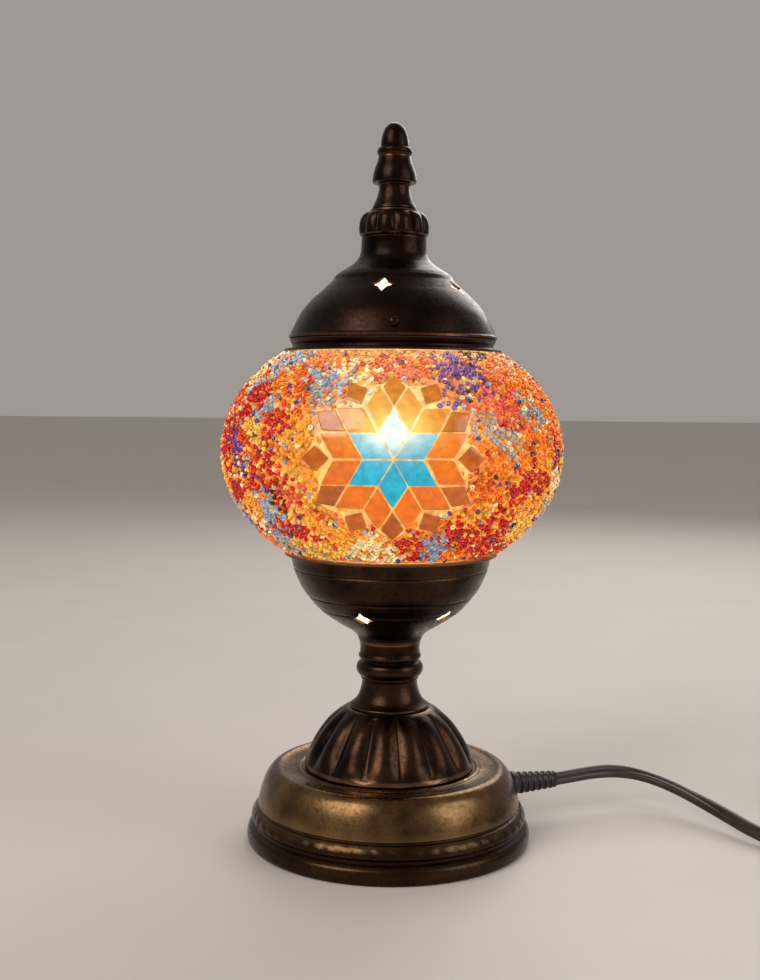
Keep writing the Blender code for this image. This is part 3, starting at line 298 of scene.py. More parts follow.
def face_out(piece: Mesh) -> None:
    """Turns the faces of a closed piece over if they face in."""
    spots = corners(piece)
    mesh = piece.data
    mesh.calc_loop_triangles()
    places = np.empty(len(mesh.loop_triangles) * 3, np.int32)
    mesh.loop_triangles.foreach_get("vertices", places)
    first, second, third = (spots[places[start::3]] for start in range(3))
    if np.einsum("ij,ij->", first, np.cross(second, third)) < 0:
        mesh.flip_normals()


def slab(name: str, size: tuple[float, float, float], cuts: int, edge: float) -> Mesh:
    """A block about the origin, cut into a grid with rounded edges.

    Args:
        name: The piece's name.
        size: Its length, width and height.
        cuts: Cuts across each face.
        edge: Radius of its edges.

    Returns:
        The block.
    """
    deselect()
    bpy.ops.mesh.primitive_cube_add(size=1.0, enter_editmode=True)
    piece = bpy.context.object
    take_all()
    bpy.ops.transform.resize(value=size)
    if edge:
        bpy.ops.mesh.bevel(offset=edge, segments=3, affect="EDGES")
        take_all()
    bpy.ops.mesh.subdivide(number_cuts=cuts)
    leave_edit()
    return settle(piece, name)


def corners(piece: Mesh) -> np.ndarray:
    """The points of a mesh, one row each."""
    spots = np.empty(len(piece.data.vertices) * 3, np.float32)
    piece.data.vertices.foreach_get("co", spots)
    return spots.reshape(-1, 3).astype(float)


def push(piece: Mesh, spots: np.ndarray) -> None:
    """Moves a mesh's points to new spots."""
    piece.data.vertices.foreach_set("co", spots.astype(np.float32).ravel())
    piece.data.update()


def lay(piece: Mesh, turn: Matrix, spot: Vector) -> Mesh:
    """Turns a piece's mesh and moves it to a spot."""
    piece.data.transform(Matrix.Translation(spot) @ turn.to_4x4())
    return piece


def faces_of(piece: Mesh) -> list[tuple[int, ...]]:
    """The corners of each face of a mesh."""
    return [tuple(face.vertices) for face in piece.data.polygons]


def many(name: str, blank: Mesh, copies: Sequence[np.ndarray], marks: dict[str, np.ndarray]) -> Mesh:
    """One mesh that holds many copies of a blank.

    Args:
        name: The piece's name.
        blank: The shape that is repeated.
        copies: The points of each copy, in the blank's order.
        marks: Values for each point of each copy, by attribute name.

    Returns:
        The piece.
    """
    size = len(blank.data.vertices)
    faces = faces_of(blank)
    starts = range(0, size * len(copies), size)
    shifted = [tuple(corner + start for corner in face) for start in starts for face in faces]
    mesh = bpy.data.meshes.new(name)
    mesh.from_pydata(np.concatenate(copies).tolist(), [], shifted)
    return settle(stamp(placed(name, mesh), **marks), name)


def placed(name: str, data: bpy.types.ID) -> bpy.types.Object:
    """Puts a mesh, a light or a camera into the scene."""
    made = bpy.data.objects.new(name, data)
    bpy.context.scene.collection.objects.link(made)
    return made


def stamp(piece: Mesh, **marks: np.ndarray | float) -> Mesh:
    """Keeps a value for each point of a piece under each mark's name."""
    for name, values in marks.items():
        kept = np.empty(len(piece.data.vertices), np.float32)
        kept[:] = values
        piece.data.attributes.new(name, "FLOAT", "POINT").data.foreach_set("value", kept)
    return piece


def around(angle: float, radius: float, height: float = 0.0) -> Vector:
    """The point at an angle from the front, a radius from the axis."""
    return Vector((radius * sin(angle), -radius * cos(angle), height))


def outward(angle: float, lean: float = 0.0) -> Matrix:
    """The turn that points a piece's own Z axis away from the lamp's axis, leaning up by an angle."""
    return Matrix.Rotation(angle - pi / 2, 3, "Z") @ Matrix.Rotation(pi / 2 - lean, 3, "Y")


def hand_over(piece: Mesh, body: Body, finish: "Finish", nodes: Sequence[str] = ()) -> Mesh:
    """Dresses a piece and puts it on its body.

    Args:
        piece: The finished piece.
        body: The body that it rides on.
        finish: Its finish.
        nodes: The frame's nodes that it stands for.

    Returns:
        The piece.
    """
    if not piece.data.materials:
        piece.data.materials.append(finish.material())
    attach(piece, body.value)
    if nodes:
        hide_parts(*nodes)
    LOG.info("%s: %d faces on %s", piece.name, len(piece.data.polygons), body.value)
    return piece


def flute(piece: Mesh, count: int, first: float, depth: float, low: float, high: float) -> None:
    """Presses sharp grooves between round ribs into a turned wall.

    Args:
        piece: The turned piece.
        count: How many grooves.
        first: The angle of one of them.
        depth: Their depth half way up.
        low: The height where they start.
        high: The height where they end.
    """

    def groove(reach: np.ndarray, angle: np.ndarray, height: np.ndarray) -> np.ndarray:
        """How far the grooves press each point in."""
        rise = np.clip((height - low) / (high - low), 0, 1)
        share = 1 - np.abs(np.sin(count * (angle - first) / 2)) ** 0.8
        return -depth * np.sin(pi * rise) ** 0.5 * share * (reach > 6 * MM)

    swell(piece, groove)


def swell(piece: Mesh, change: Callable[[np.ndarray, np.ndarray, np.ndarray], np.ndarray]) -> None:
    """Moves the points of a turned piece out, or in.

    Args:
        piece: The turned piece.
        change: How far, from the points' distances from the axis, their angles and their heights.
    """
    spots = corners(piece)
    reach = np.hypot(spots[:, 0], spots[:, 1])
    moved = reach + change(reach, np.arctan2(spots[:, 0], -spots[:, 1]), spots[:, 2])
    spots[:, :2] *= (moved / np.maximum(reach, HAIR))[:, None]
    push(piece, spots)


# Finishes


class Recipe:
    """The nodes of one material."""

    def __init__(self, name: str) -> None:
        """Starts a material of a name."""
        self.made = bpy.data.materials.new(name)
        self.made.use_nodes = True
        self.tree = self.made.node_tree
        self.shader = self.tree.nodes["Principled BSDF"]
        self.place = self.add("ShaderNodeTexCoord").outputs["Object"]

    def add(self, kind: str, inputs: dict | None = None, **settings: object) -> bpy.types.Node:
        """Adds a node.

        Args:
            kind: Its type.
            inputs: Values or sockets by the input's name or number.
            settings: Its own settings.

        Returns:
            The node.
        """
        node = self.tree.nodes.new(kind)
        for setting, value in settings.items():
            setattr(node, setting, value)
        for entry, value in (inputs or {}).items():
            self.feed(node.inputs[entry], value)
        return node

    def feed(self, socket: bpy.types.NodeSocket, value: object) -> None:
        """Links or sets a socket."""
        if isinstance(value, bpy.types.NodeSocket):
            self.tree.links.new(value, socket)
        elif socket.type == "RGBA" and isinstance(value, tuple):
            socket.default_value = (*value, 1.0)
        else:
            socket.default_value = value

    def set(self, **values: object) -> None:
        """Sets the shader's sockets, with _ for each space in their names."""
        for name, value in values.items():
            self.feed(self.shader.inputs[name.replace("_", " ")], value)

    def noise(self, scale: float, detail: float = 4.0, stretch: Colour | None = None) -> bpy.types.NodeSocket:
        """A noise on the piece's own coordinates, in cells per metre."""
        place = self.place
        if stretch:
            place = self.add("ShaderNodeMapping", {"Vector": place, "Scale": stretch}).outputs[0]
        entries = {"Vector": place, "Scale": scale, "Detail": detail}
        return self.add("ShaderNodeTexNoise", entries).outputs[0]

    def spread(
        self, value: object, low: float, high: float, first: float = 0.0, last: float = 1.0
    ) -> bpy.types.NodeSocket:
        """Maps a range of a value to another range, held at its ends."""
        entries = {"Value": value, "From Min": low, "From Max": high, "To Min": first, "To Max": last}
        return self.add("ShaderNodeMapRange", entries).outputs[0]

    def mix(self, share: object, first: object, second: object, blend: str = "MIX") -> bpy.types.NodeSocket:
        """A mix of two colours."""
        entries = {0: share, 6: first, 7: second}
        return self.add("ShaderNodeMix", entries, data_type="RGBA", blend_type=blend).outputs[2]

    def sum(self, kind: str, first: object, second: object) -> bpy.types.NodeSocket:
        """What the Math node makes of two numbers, by its kind."""
        return self.add("ShaderNodeMath", {0: first, 1: second}, operation=kind).outputs[0]

    def mark(self, name: str) -> bpy.types.NodeSocket:
        """A value kept on the mesh under a name."""
        return self.add("ShaderNodeAttribute", attribute_name=name).outputs["Fac"]

    def bump(self, height: bpy.types.NodeSocket, strength: float, depth: float) -> None:
        """Raises the surface by a height, to a depth in metres."""
        entries = {"Height": height, "Strength": strength, "Distance": depth}
        self.feed(self.shader.inputs["Normal"], self.add("ShaderNodeBump", entries).outputs[0])


@dataclass(frozen=True)
class Finish:
    """A finish, made once and shared by every piece that takes it."""

    name: str

    def material(self) -> bpy.types.Material:
        """The material, made at its first use."""
        made = bpy.data.materials.get(self.name)
        if made is None:
            recipe = Recipe(self.name)
            self.brew(recipe)
            made = recipe.made
        return made

    def brew(self, recipe: Recipe) -> None:
        """Adds the finish's nodes."""
        raise NotImplementedError


@dataclass(frozen=True)
class Metal(Finish):
    """Cast or turned metal, darker in its hollows and rubbed bright on its edges.

    Where it is given two heights for a painted shade, it darkens downwards between them, as painted shade
    below the light that falls from above.
    """

    colour: Colour
    dark: Colour
    worn: Colour
    roughness: float = 0.36
    patina: float = 1.0
    turning: float = 0.25
    patch: float = 70.0
    painted_shade_heights: tuple[float, float] | None = None

    def brew(self, recipe: Recipe) -> None:
        """Adds the patina, the turning marks, the rubbed edges and any painted shade downwards."""
        clouds = recipe.noise(self.patch, 6.0)
        specks = recipe.noise(self.patch * 9, 3.0)
        depth = recipe.spread(clouds, 0.35, 0.68, 0.0, self.patina)
        base = recipe.mix(depth, self.colour, self.dark)
        flecks = recipe.spread(specks, 0.56, 0.72, 0.0, 0.55 * self.patina)
        base = recipe.mix(flecks, base, self.dark)
        edge = recipe.add("ShaderNodeNewGeometry").outputs["Pointiness"]
        rubbed = recipe.spread(edge, 0.51, 0.58, 0.0, 0.85)
        hollow = recipe.spread(edge, 0.42, 0.49, 0.9, 0.0)
        base = recipe.mix(hollow, base, tuple(0.4 * part for part in self.dark))
        base = recipe.mix(rubbed, base, self.worn)
        # Painted shade: darker towards the bottom, below the light that falls from above.
        if self.painted_shade_heights:
            height = recipe.add("ShaderNodeSeparateXYZ", {0: recipe.place}).outputs["Z"]
            base = recipe.mix(recipe.spread(height, *self.painted_shade_heights, 0.88, 0.0), base, self.dark)
        recipe.set(Base_Color=base, Metallic=1.0)
        rough = recipe.spread(specks, *MID_NOISE, self.roughness - 0.08, self.roughness + 0.12)
        recipe.set(Roughness=rough)
        rings = recipe.noise(260.0, 2.0, (0.05, 0.05, 8.0))
        relief = recipe.mix(self.turning, specks, rings)
        recipe.bump(relief, 0.16, 0.0003)


@dataclass(frozen=True)
class Plastic(Finish):
    """Moulded plastic or rubber with a fine grain."""

    colour: Colour
    roughness: float = 0.42
    grain: float = 1400.0
    relief: float = 0.12
    scuff: float = 0.25

    def brew(self, recipe: Recipe) -> None:
        """Adds the grain and a little scuffing."""
        grain = recipe.noise(self.grain, 3.0)
        scuffs = recipe.noise(self.grain / 12, 6.0)
        pale = tuple(min(1.0, 1.9 * part + 0.02) for part in self.colour)
        share = recipe.spread(scuffs, 0.50, 0.75, 0.0, self.scuff)
        recipe.set(Base_Color=recipe.mix(share, self.colour, pale))
        rough = recipe.spread(scuffs, *MID_NOISE, self.roughness - 0.06, self.roughness + 0.12)
        recipe.set(Roughness=rough)
        recipe.bump(grain, self.relief, 0.0002)


@dataclass(frozen=True)
class Felt(Finish):
    """Pressed wool felt."""

    colour: Colour

    def brew(self, recipe: Recipe) -> None:
        """Adds matted fibres."""
        fibres = recipe.noise(900.0, 8.0, (1.0, 0.35, 1.0))
        pale = tuple(2.4 * part for part in self.colour)
        tone = recipe.mix(recipe.spread(fibres, 0.35, 0.7), self.colour, pale)
        recipe.set(Base_Color=tone, Roughness=0.95, Sheen_Weight=0.5)
        recipe.bump(fibres, 0.6, 0.0006)


@dataclass(frozen=True)
class LitGlass(Finish):
    """Coloured glass lit from behind, with the bulb's light painted on as glow: paler by the mark named hot,
    and its painted glow scaled by a second mark, at random and, on the beads, more where the bulb's light
    shows behind them.
    """

    colour: Colour
    hot: Colour = (1.0, 0.86, 0.52)
    light: float = 0.8
    body: float = 0.45
    facing: bool = False
    roughness: float = 0.16
    streaks: float = 0.25

    def brew(self, recipe: Recipe) -> None:
        """Adds the glow, any painted shade on the sides of the beads, the streaks in the glass and its gloss.
        """
        heat = recipe.mark("hot")
        clouds = recipe.noise(330.0, 4.0)
        warm = recipe.spread(clouds, *MID_NOISE, 1 - self.streaks, 1 + self.streaks)
        tone = recipe.mix(recipe.spread(heat, 0.0, 1.0), self.colour, self.hot)
        level = recipe.sum("MULTIPLY", warm, recipe.mark("tint"))
        # Painted shade: where this is set, the glow dims on faces that turn sideways from the globe's outside
        # and is strongest on those that face straight out, like the shading of a lit bead.
        if self.facing:
            shape = GlobeShape()
            scale = (shape.radius**-2, shape.radius**-2, shape.half**-2)
            entries = {"Vector": recipe.place, "Location": (0, 0, -shape.centre * scale[2]), "Scale": scale}
            away = recipe.add("ShaderNodeMapping", entries).outputs[0]
            away = recipe.add("ShaderNodeVectorMath", {0: away}, operation="NORMALIZE").outputs[0]
            normal = recipe.add("ShaderNodeNewGeometry").outputs["Normal"]
            dot = recipe.add("ShaderNodeVectorMath", {0: away, 1: normal}, operation="DOT_PRODUCT")
            level = recipe.sum("MULTIPLY", level, recipe.spread(dot.outputs["Value"], -0.1, 0.95, 0.12, 1.25))
        glow = recipe.mix(1.0, tone, level, "MULTIPLY")
        recipe.set(Emission_Color=glow, Emission_Strength=self.light)
        deep = tuple(self.body * part for part in self.colour)
        recipe.set(Base_Color=recipe.mix(recipe.spread(clouds, *MID_NOISE, 0.0, 0.5), deep, self.colour))
        recipe.set(Roughness=self.roughness, Coat_Weight=0.3, Coat_Roughness=0.05)
        recipe.bump(clouds, 0.12, 0.0004)
        recipe.made.cycles.emission_sampling = "NONE"


@dataclass(frozen=True)
class LitWall(Finish):
    """The inside of a metal wall in the bulb's light."""

    colour: Colour = (1.0, 0.80, 0.48)
    light: float = 2.8

    def brew(self, recipe: Recipe) -> None:
        """Adds an uneven warm light to dull metal."""
        clouds = recipe.noise(120.0, 4.0)
        glow = recipe.mix(recipe.spread(clouds, *MID_NOISE), self.colour, (1.0, 0.84, 0.50))
        recipe.set(Base_Color=(0.20, 0.12, 0.06), Metallic=1.0, Roughness=0.5)
        recipe.set(Emission_Color=glow, Emission_Strength=self.light)
        recipe.made.cycles.emission_sampling = "NONE"


@dataclass(frozen=True)
class Flex(Finish):
    """The sheath of a twin lead."""

    colour: Colour

    def brew(self, recipe: Recipe) -> None:
        """Adds a fine grain and handling marks."""
        marks = recipe.noise(160.0, 5.0)
        fine = recipe.noise(2400.0, 2.0)
        pale = tuple(1.8 * part + 0.01 for part in self.colour)
        recipe.set(Base_Color=recipe.mix(recipe.spread(marks, 0.4, 0.7, 0.0, 0.6), self.colour, pale))
        recipe.set(Roughness=recipe.spread(marks, *MID_NOISE, 0.30, 0.48))
        recipe.bump(fine, 0.10, 0.0001)


# The same antique bronze in three copies. The cap's and the stand's copies are painted very dark, as painted
# shade for parts that the light does not reach. The base's copy is painted lighter, as painted light from the
# globe above it. Their patina and rubbed edges are the metal's own.
SHADED_CAP_BRONZE = Metal("shaded cap bronze", (0.030, 0.015, 0.010), (0.007, 0.0045, 0.004), (0.13, 0.060, 0.032), 0.27)
SHADED_STAND_BRONZE = Metal("shaded stand bronze", (0.052, 0.027, 0.015), (0.010, 0.006, 0.0045), (0.24, 0.13, 0.065), 0.28)
LIT_BASE_BRONZE = Metal(
    "lit base bronze", (0.20, 0.115, 0.048), (0.026, 0.014, 0.008), (0.46, 0.29, 0.14), 0.26, 0.85,
    painted_shade_heights=(0.0105, 0.0165),
)
ZINC = Metal("zinc plate", (0.52, 0.51, 0.47), (0.30, 0.29, 0.26), (0.70, 0.69, 0.65), 0.36, 0.5, 0.1)
BRASS = Metal("brass", (0.70, 0.50, 0.22), (0.34, 0.22, 0.09), (0.86, 0.66, 0.34), 0.28, 0.4, 0.1)
BAKELITE = Plastic("black bakelite", (0.022, 0.019, 0.017), 0.30, 900.0, 0.05)
SWITCH_PLASTIC = Plastic("dark brown moulding", (0.026, 0.016, 0.011), 0.40)
ROCKER_RED = Plastic("rocker red", (0.38, 0.022, 0.014), 0.30, 1800.0, 0.05)
RUBBER = Plastic("grey rubber", (0.060, 0.058, 0.055), 0.70, 700.0, 0.3)
FLEX = Flex("brown flex", (0.030, 0.018, 0.012))
GREEN_FELT = Felt("green felt", (0.020, 0.034, 0.024))
LIT_WALL = LitWall("lit inside")


# The frame's sizes


def node_mesh(node: str) -> Mesh:
    """The frame's object of a node."""
    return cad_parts[node]


def reach_of(node: str) -> float:
    """The greatest distance of a node from the lamp's axis."""
    spots = corners(node_mesh(node))
    return float(np.hypot(spots[:, 0], spots[:, 1]).max())


def fitted(outline: Outline, node: str) -> Outline:
    """Stretches an outline to the height and the radius of a node of the frame."""
    low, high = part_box(node)
    line = np.array(outline)
    foot, top = line[:, 1].min(), line[:, 1].max()
    across = reach_of(node) / line[:, 0].max()
    up = (high[2] - low[2]) / (top - foot)
    return [(radius * across, low[2] + (height - foot) * up) for radius, height in outline]


@dataclass(frozen=True)
class GlobeShape:
    """The outer surface of the globe, an upright ellipse that is turned, and its round medallions."""

    radius: float = 0.0650
    half: float = 0.0489
    medallions: int = 3

    @property
    def centre(self) -> float:
        """The height of the globe's middle."""
        low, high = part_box("glass_globe")
        return (low[2] + high[2]) / 2

    def tilt(self, up: np.ndarray) -> np.ndarray:
        """The angle above the waist of a distance up the surface."""
        share = up / self.half
        return share * (1 - ((self.radius / self.half) ** 2 - 1) * share**2 / 6)

    def point(self, middle: float, across: np.ndarray, up: np.ndarray, inset: np.ndarray) -> np.ndarray:
        """Points across and up from a medallion's middle, at a depth below the surface."""
        tilt = self.tilt(up)
        angle = middle + 2 * across / (self.radius * (1 + np.cos(tilt)))
        level = (self.radius - inset) * np.cos(tilt)
        height = self.centre + (self.half - inset) * np.sin(tilt)
        return np.column_stack([level * np.sin(angle), -level * np.cos(angle), height])

    def spot_of(self, angle: np.ndarray, tilt: np.ndarray) -> tuple[np.ndarray, np.ndarray]:
        """How far across and up points lie from the middle of the medallion nearest to them."""
        share = 2 * pi / self.medallions
        away = (angle + share / 2) % share - share / 2
        ups = np.linspace(-0.052, 0.052, 400)
        return away * self.radius * (1 + np.cos(tilt)) / 2, np.interp(tilt, self.tilt(ups), ups)

    def level(self, low: float, high: float, inset: float, steps: int) -> Outline:
        """The surface's outline from one height above the centre to another, at a depth."""
        width, height = self.radius - inset, self.half - inset
        tilts = np.linspace(np.arcsin(low / height), np.arcsin(high / height), steps)
        return [(width * cos(tilt), self.centre + height * sin(tilt)) for tilt in tilts]


# The base and the stand


@dataclass
class Base:
    """The cast base with its rolled flange and its band of gadroons, and the felt under it."""

    wall: float = 1.0 * MM
    bore: float = 5.3
    gadroons: int = 54
    band: tuple[float, float] = (9.2 * MM, 13.2 * MM)
    band_inside: float = 50.4 * MM
    relief: float = 0.34 * MM
    felt_edge: float = 0.3 * MM

    def outline(self) -> Outline:
        """The outer side, from the hole in the top to the flange's foot."""
        return fitted(
            profile(
                [(self.bore, 28.2), (33.4, 28.2)],
                [(33.5, 28.2), (34.0, 28.5), (34.7, 28.6), (35.4, 28.4), (35.8, 28.1)],
                [(36.6, 28.0), (41.0, 28.0)],
                [(41.8, 28.3), (43.0, 28.6), (44.6, 28.2), (46.4, 26.6), (47.9, 24.2), (49.1, 21.3),
                 (50.0, 18.3)],
                [(50.6, 15.6), (50.7, 14.7)],
                [(50.2, 14.2), (50.3, 13.6)],
                [(51.2, 13.2), (52.1, 12.3), (52.9, 10.9), (53.2, 9.4)],
                [(52.9, 8.8), (52.2, 8.2)],
                [(52.2, 7.2), (52.8, 6.7)],
                [(53.4, 6.4), (54.3, 5.5), (54.8, 4.1), (54.9, 2.6), (54.7, 1.2), (54.3, 0.4)],
            ),
            "base_shell",
        )

    def build(self) -> None:
        """Makes the base and the felt."""
        outer = self.outline()
        ends = (outer[0][0], outer[0][1] - self.wall), (outer[-1][0] - self.wall, outer[-1][1])
        base = hollow("cast_base", outer, self.wall, 26, ends, 324)

        def gadroon(reach: np.ndarray, angle: np.ndarray, height: np.ndarray) -> np.ndarray:
            """How far the band's lobes stand out at each point."""
            rise = np.clip((height - self.band[0]) / (self.band[1] - self.band[0]), 0, 1)
            lobes = np.abs(np.sin(self.gadroons * angle / 2 + 0.9 * (rise - 0.5)))
            return self.relief * np.sin(pi * rise) * (lobes - 0.62) * (reach > self.band_inside)

        swell(base, gadroon)
        hand_over(base, Body.ROOT, LIT_BASE_BRONZE, ["base_shell"])

        low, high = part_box("felt_pad")
        radius = reach_of("felt_pad")
        inside, lip = radius - self.felt_edge, self.felt_edge
        rim = [(inside, low[2]), (radius, low[2] + lip), (radius, high[2] - lip), (inside, high[2])]
        felt = lathe("felt_disc", [(0.0, low[2]), *rim, (0.0, high[2])], 96, closed=False)
        hand_over(felt, Body.ROOT, GREEN_FELT, ["felt_pad"])


@dataclass
class Stand:
    """The ribbed dome, the turned stem and the cup that the globe stands in."""

    wall: float = 1.0 * MM
    bore: float = 5.3
    ribs: int = 15
    first_groove: float = radians(7)
    groove: float = 2.6 * MM
    star: float = 4.3 * MM
    cup_stars: int = 5
    cup_star_angle: float = radians(-23)
    cup_star_rise: float = 11.4 * MM

    def build(self) -> None:
        """Makes the three pieces."""
        low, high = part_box("fluted_dome")
        outer = fitted(
            profile(
                [(self.bore, 51.5), (16.4, 51.5)],
                [(17.2, 51.2), (18.6, 50.4), (20.8, 48.8), (23.7, 46.2), (26.2, 43.1), (28.7, 39.4),
                 (30.4, 36.3), (31.7, 33.4), (32.5, 30.8)],
                [(32.8, 30.2), (32.8, 28.9)],
            ),
            "fluted_dome",
        )
        ends = (outer[0][0], high[2] - self.wall), (outer[-1][0] - self.wall, low[2])
        dome = hollow("ribbed_dome", outer, 1.4 * self.wall, 14, ends, 240)
        flute(dome, self.ribs, self.first_groove, self.groove, low[2] + 1.2 * MM, high[2] - 0.8 * MM)
        hand_over(dome, Body.ROOT, SHADED_STAND_BRONZE, ["fluted_dome"])

        stem = profile(
            [(self.bore, 51.8), (15.2, 51.8)],
            [(15.4, 52.0), (15.3, 52.5), (14.3, 53.3), (12.9, 54.7), (11.7, 57.0), (10.9, 60.0),
             (10.6, 62.3)],
            [(11.2, 62.9), (11.2, 63.7)],
            [(11.7, 64.1), (12.6, 65.2), (12.95, 66.7), (12.6, 68.3), (11.8, 69.3)],
            [(11.3, 69.7), (11.3, 70.4)],
            [(11.9, 70.9), (12.1, 71.6), (11.9, 72.3)],
            [(11.6, 72.8), (11.5, 75.0), (11.8, 77.4)],
            [(self.bore, 77.4)],
        )
        made = lathe("turned_stem", fitted(stem, "neck_stem"), 96)
        hand_over(made, Body.ROOT, SHADED_STAND_BRONZE, ["neck_stem"])
        self.build_cup()

    def build_cup(self) -> None:
        """Makes the cup with its thin lip, its fine grooves and its star holes."""
        side = profile(
            [(40.8, 112.0), (40.8, 111.2)],
            [(38.7, 111.0), (38.1, 109.2), (37.6, 106.6), (36.9, 104.3), (35.6, 101.3), (33.9, 97.9),
             (31.6, 94.8), (29.0, 91.7), (26.0, 88.8), (22.3, 86.2), (18.7, 83.9), (15.2, 81.9),
             (13.0, 79.9), (12.0, 77.7)],
            [(self.bore, 77.7)],
            steps=6,
        )
        outer = scored(fitted(side, "lower_cup"), [106 * MM, 95.3 * MM, 90.2 * MM], 0.4 * MM, 0.9 * MM)
        low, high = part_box("lower_cup")
        wall_only = [spot for spot in outer if spot[0] < 38.8 * MM and spot[0] > 11 * MM]
        inner = inner_side(wall_only, self.wall, 24)
        inner[0] = (37.1 * MM, high[2])
        inner[-1] = (11.0 * MM, low[2] + self.wall)
        cup = lathe("globe_cup", [*outer, (outer[-1][0], low[2] + self.wall), *inner[::-1]], 144)
        pierce(cup, outer, low[2] + self.cup_star_rise, self.cup_stars, self.cup_star_angle, self.star)
        light_inside(cup, SHADED_STAND_BRONZE, -0.6, high[2] - 4 * MM)
        hand_over(cup, Body.ROOT, SHADED_STAND_BRONZE, ["lower_cup"])


def at_height(outline: Outline, height: float) -> tuple[float, float]:
    """The outline's radius at a height, and the angle above the horizontal that its wall faces there."""
    line = np.array(sorted(outline, key=lambda spot: spot[1]))
    keep = line[:, 0] > 8 * MM
    levels = (height - MM, height, height + MM)
    below, here, above = (float(np.interp(level, line[keep, 1], line[keep, 0])) for level in levels)
    return here, atan2(below - above, 2 * MM)


def pierce(piece: Mesh, outline: Outline, height: float, count: int, first: float, reach: float) -> None:
    """Cuts a ring of four-pointed stars through a turned wall, each square to the wall.

    Args:
        piece: The turned piece.
        outline: Its outer side.
        height: The height of the stars' middles.
        count: How many stars.
        first: The angle of one of them.
        reach: From a star's middle to its points.
    """
    radius, lean = at_height(outline, height)
    waist = 0.52
    for number in range(count):
        deselect()
        bpy.ops.mesh.primitive_circle_add(vertices=8, radius=reach, fill_type="NGON", enter_editmode=True)
        star = bpy.context.object
        take_all()
        bpy.ops.mesh.extrude_region_move(TRANSFORM_OT_translate={"value": (0, 0, 7 * MM)})
        take_all()
        bpy.ops.transform.translate(value=(0, 0, -3.5 * MM))
        bpy.ops.mesh.normals_make_consistent(inside=False)
        leave_edit()
        spots = corners(star)
        turn = np.round(np.arctan2(spots[:, 1], spots[:, 0]) / (pi / 4)).astype(int)
        spots[turn % 2 == 1, :2] *= waist
        push(star, spots)
        angle = first + number * 2 * pi / count
        lay(star, outward(angle, lean), around(angle, radius, height))
        carve(piece, star)


def light_inside(piece: Mesh, finish: Finish, lean: float, limit: float) -> None:
    """Gives the inner faces of a hollow turned piece the light of the bulb.

    Args:
        piece: The hollow piece.
        finish: The finish of its outer side.
        lean: How much an upward normal counts as outward.
        limit: The height of the rim's side of the inner faces, above which, or below which for a piece that
            opens downwards, they stay dark.
    """
    piece.data.materials.clear()
    piece.data.materials.append(finish.material())
    piece.data.materials.append(LIT_WALL.material())
    for face in piece.data.polygons:
        spot = Vector((face.center.x, face.center.y, 0)).normalized()
        inside = face.normal.dot(spot) + lean * face.normal.z < -0.15
        rim = face.center.z > limit if lean < 0 else face.center.z < limit
        if inside and not rim:
            face.material_index = 1


# The globe


@dataclass(frozen=True)
class Tile:
    """A cut glass tile, by the corners of its outline across and up from a medallion's middle."""

    outline: tuple[tuple[float, float], ...]
    kind: str


@dataclass
class Medallion:
    """The pattern of a medallion: a six-pointed star, the rhombi in its notches and a ring of diamonds."""

    side: float = 10.5 * MM
    joint: float = 0.42 * MM
    kite_sides: tuple[float, float] = (27.0 * MM, 4.7 * MM)
    kite_tip: float = 32.6 * MM
    diamond: tuple[float, float, float] = (22.0 * MM, 27.8 * MM, 33.2 * MM)
    diamond_half: float = 5.1 * MM

    def tiles(self) -> list[Tile]:
        """Every tile of the medallion."""
        made = []
        tip = sqrt(3) * self.side
        for turn in range(6):
            ray = radians(90 + 60 * turn)
            star = [(0, 0), (self.side, -pi / 6), (tip, 0), (self.side, pi / 6)]
            made.append(self.tile("star", ray, star))
            notch = ray + pi / 6
            wing = hypot(2.5 * self.side, self.side * sqrt(3) / 2), atan2(sqrt(3) / 2, 2.5)
            for hand in (-1, 1):
                inner, outer = (tip, hand * pi / 6), (wing[0], hand * wing[1])
                petal = [(self.side, 0), inner, outer, (2 * self.side, 0)]
                made.append(self.tile("petal", notch, petal[::-hand]))
            half = atan2(self.kite_sides[1], self.kite_sides[0])
            kite = [(tip, 0), (self.kite_sides[0], -half), (self.kite_tip, 0), (self.kite_sides[0], half)]
            made.append(self.tile("rim", ray, kite))
            near, middle, far = self.diamond
            half = atan2(self.diamond_half, middle)
            made.append(self.tile("rim", notch, [(near, 0), (middle, -half), (far, 0), (middle, half)]))
        return made

    def tile(self, kind: str, ray: float, spots: Sequence[tuple[float, float]]) -> Tile:
        """A tile with its corners given as a radius and an angle from a ray, drawn in by half a joint."""
        flat = np.array([(reach * cos(ray + off), reach * sin(ray + off)) for reach, off in spots])
        middle = flat.mean(axis=0)
        ahead = np.roll(flat, -1, axis=0) - flat
        behind = np.roll(flat, 1, axis=0) - flat
        ahead /= np.hypot(*ahead.T)[:, None]
        behind /= np.hypot(*behind.T)[:, None]
        sine = np.abs(ahead[:, 0] * behind[:, 1] - ahead[:, 1] * behind[:, 0])
        drawn = flat + (ahead + behind) * (self.joint / 2 / np.maximum(sine, 0.3))[:, None]
        keep = ((drawn - middle) ** 2).sum(axis=1) < ((flat - middle) ** 2).sum(axis=1)
        return Tile(tuple(map(tuple, np.where(keep[:, None], drawn, flat))), kind)


@dataclass(frozen=True)
class Glow:
    """A soft patch of the bulb's light on a medallion, with its rise above the middle."""

    strength: float
    half_width: float
    rise: float
    half_height: float


GLOWS = (
    Glow(1.25, 11.0 * MM, 9.5 * MM, 6.4 * MM),
    Glow(0.40, 21.0 * MM, 20.0 * MM, 14.0 * MM),
    Glow(0.30, inf, 47.0 * MM, 9.0 * MM),
)


def heat(across: np.ndarray, up: np.ndarray) -> np.ndarray:
    """How near the bulb shows behind a place on the globe, from 0 to 1."""
    total = np.zeros(len(up))
    for glow in GLOWS:
        away = (across / glow.half_width) ** 2 + ((up - glow.rise) / glow.half_height) ** 2
        total += glow.strength * np.exp(-away)
    return np.clip(total, 0, 1)


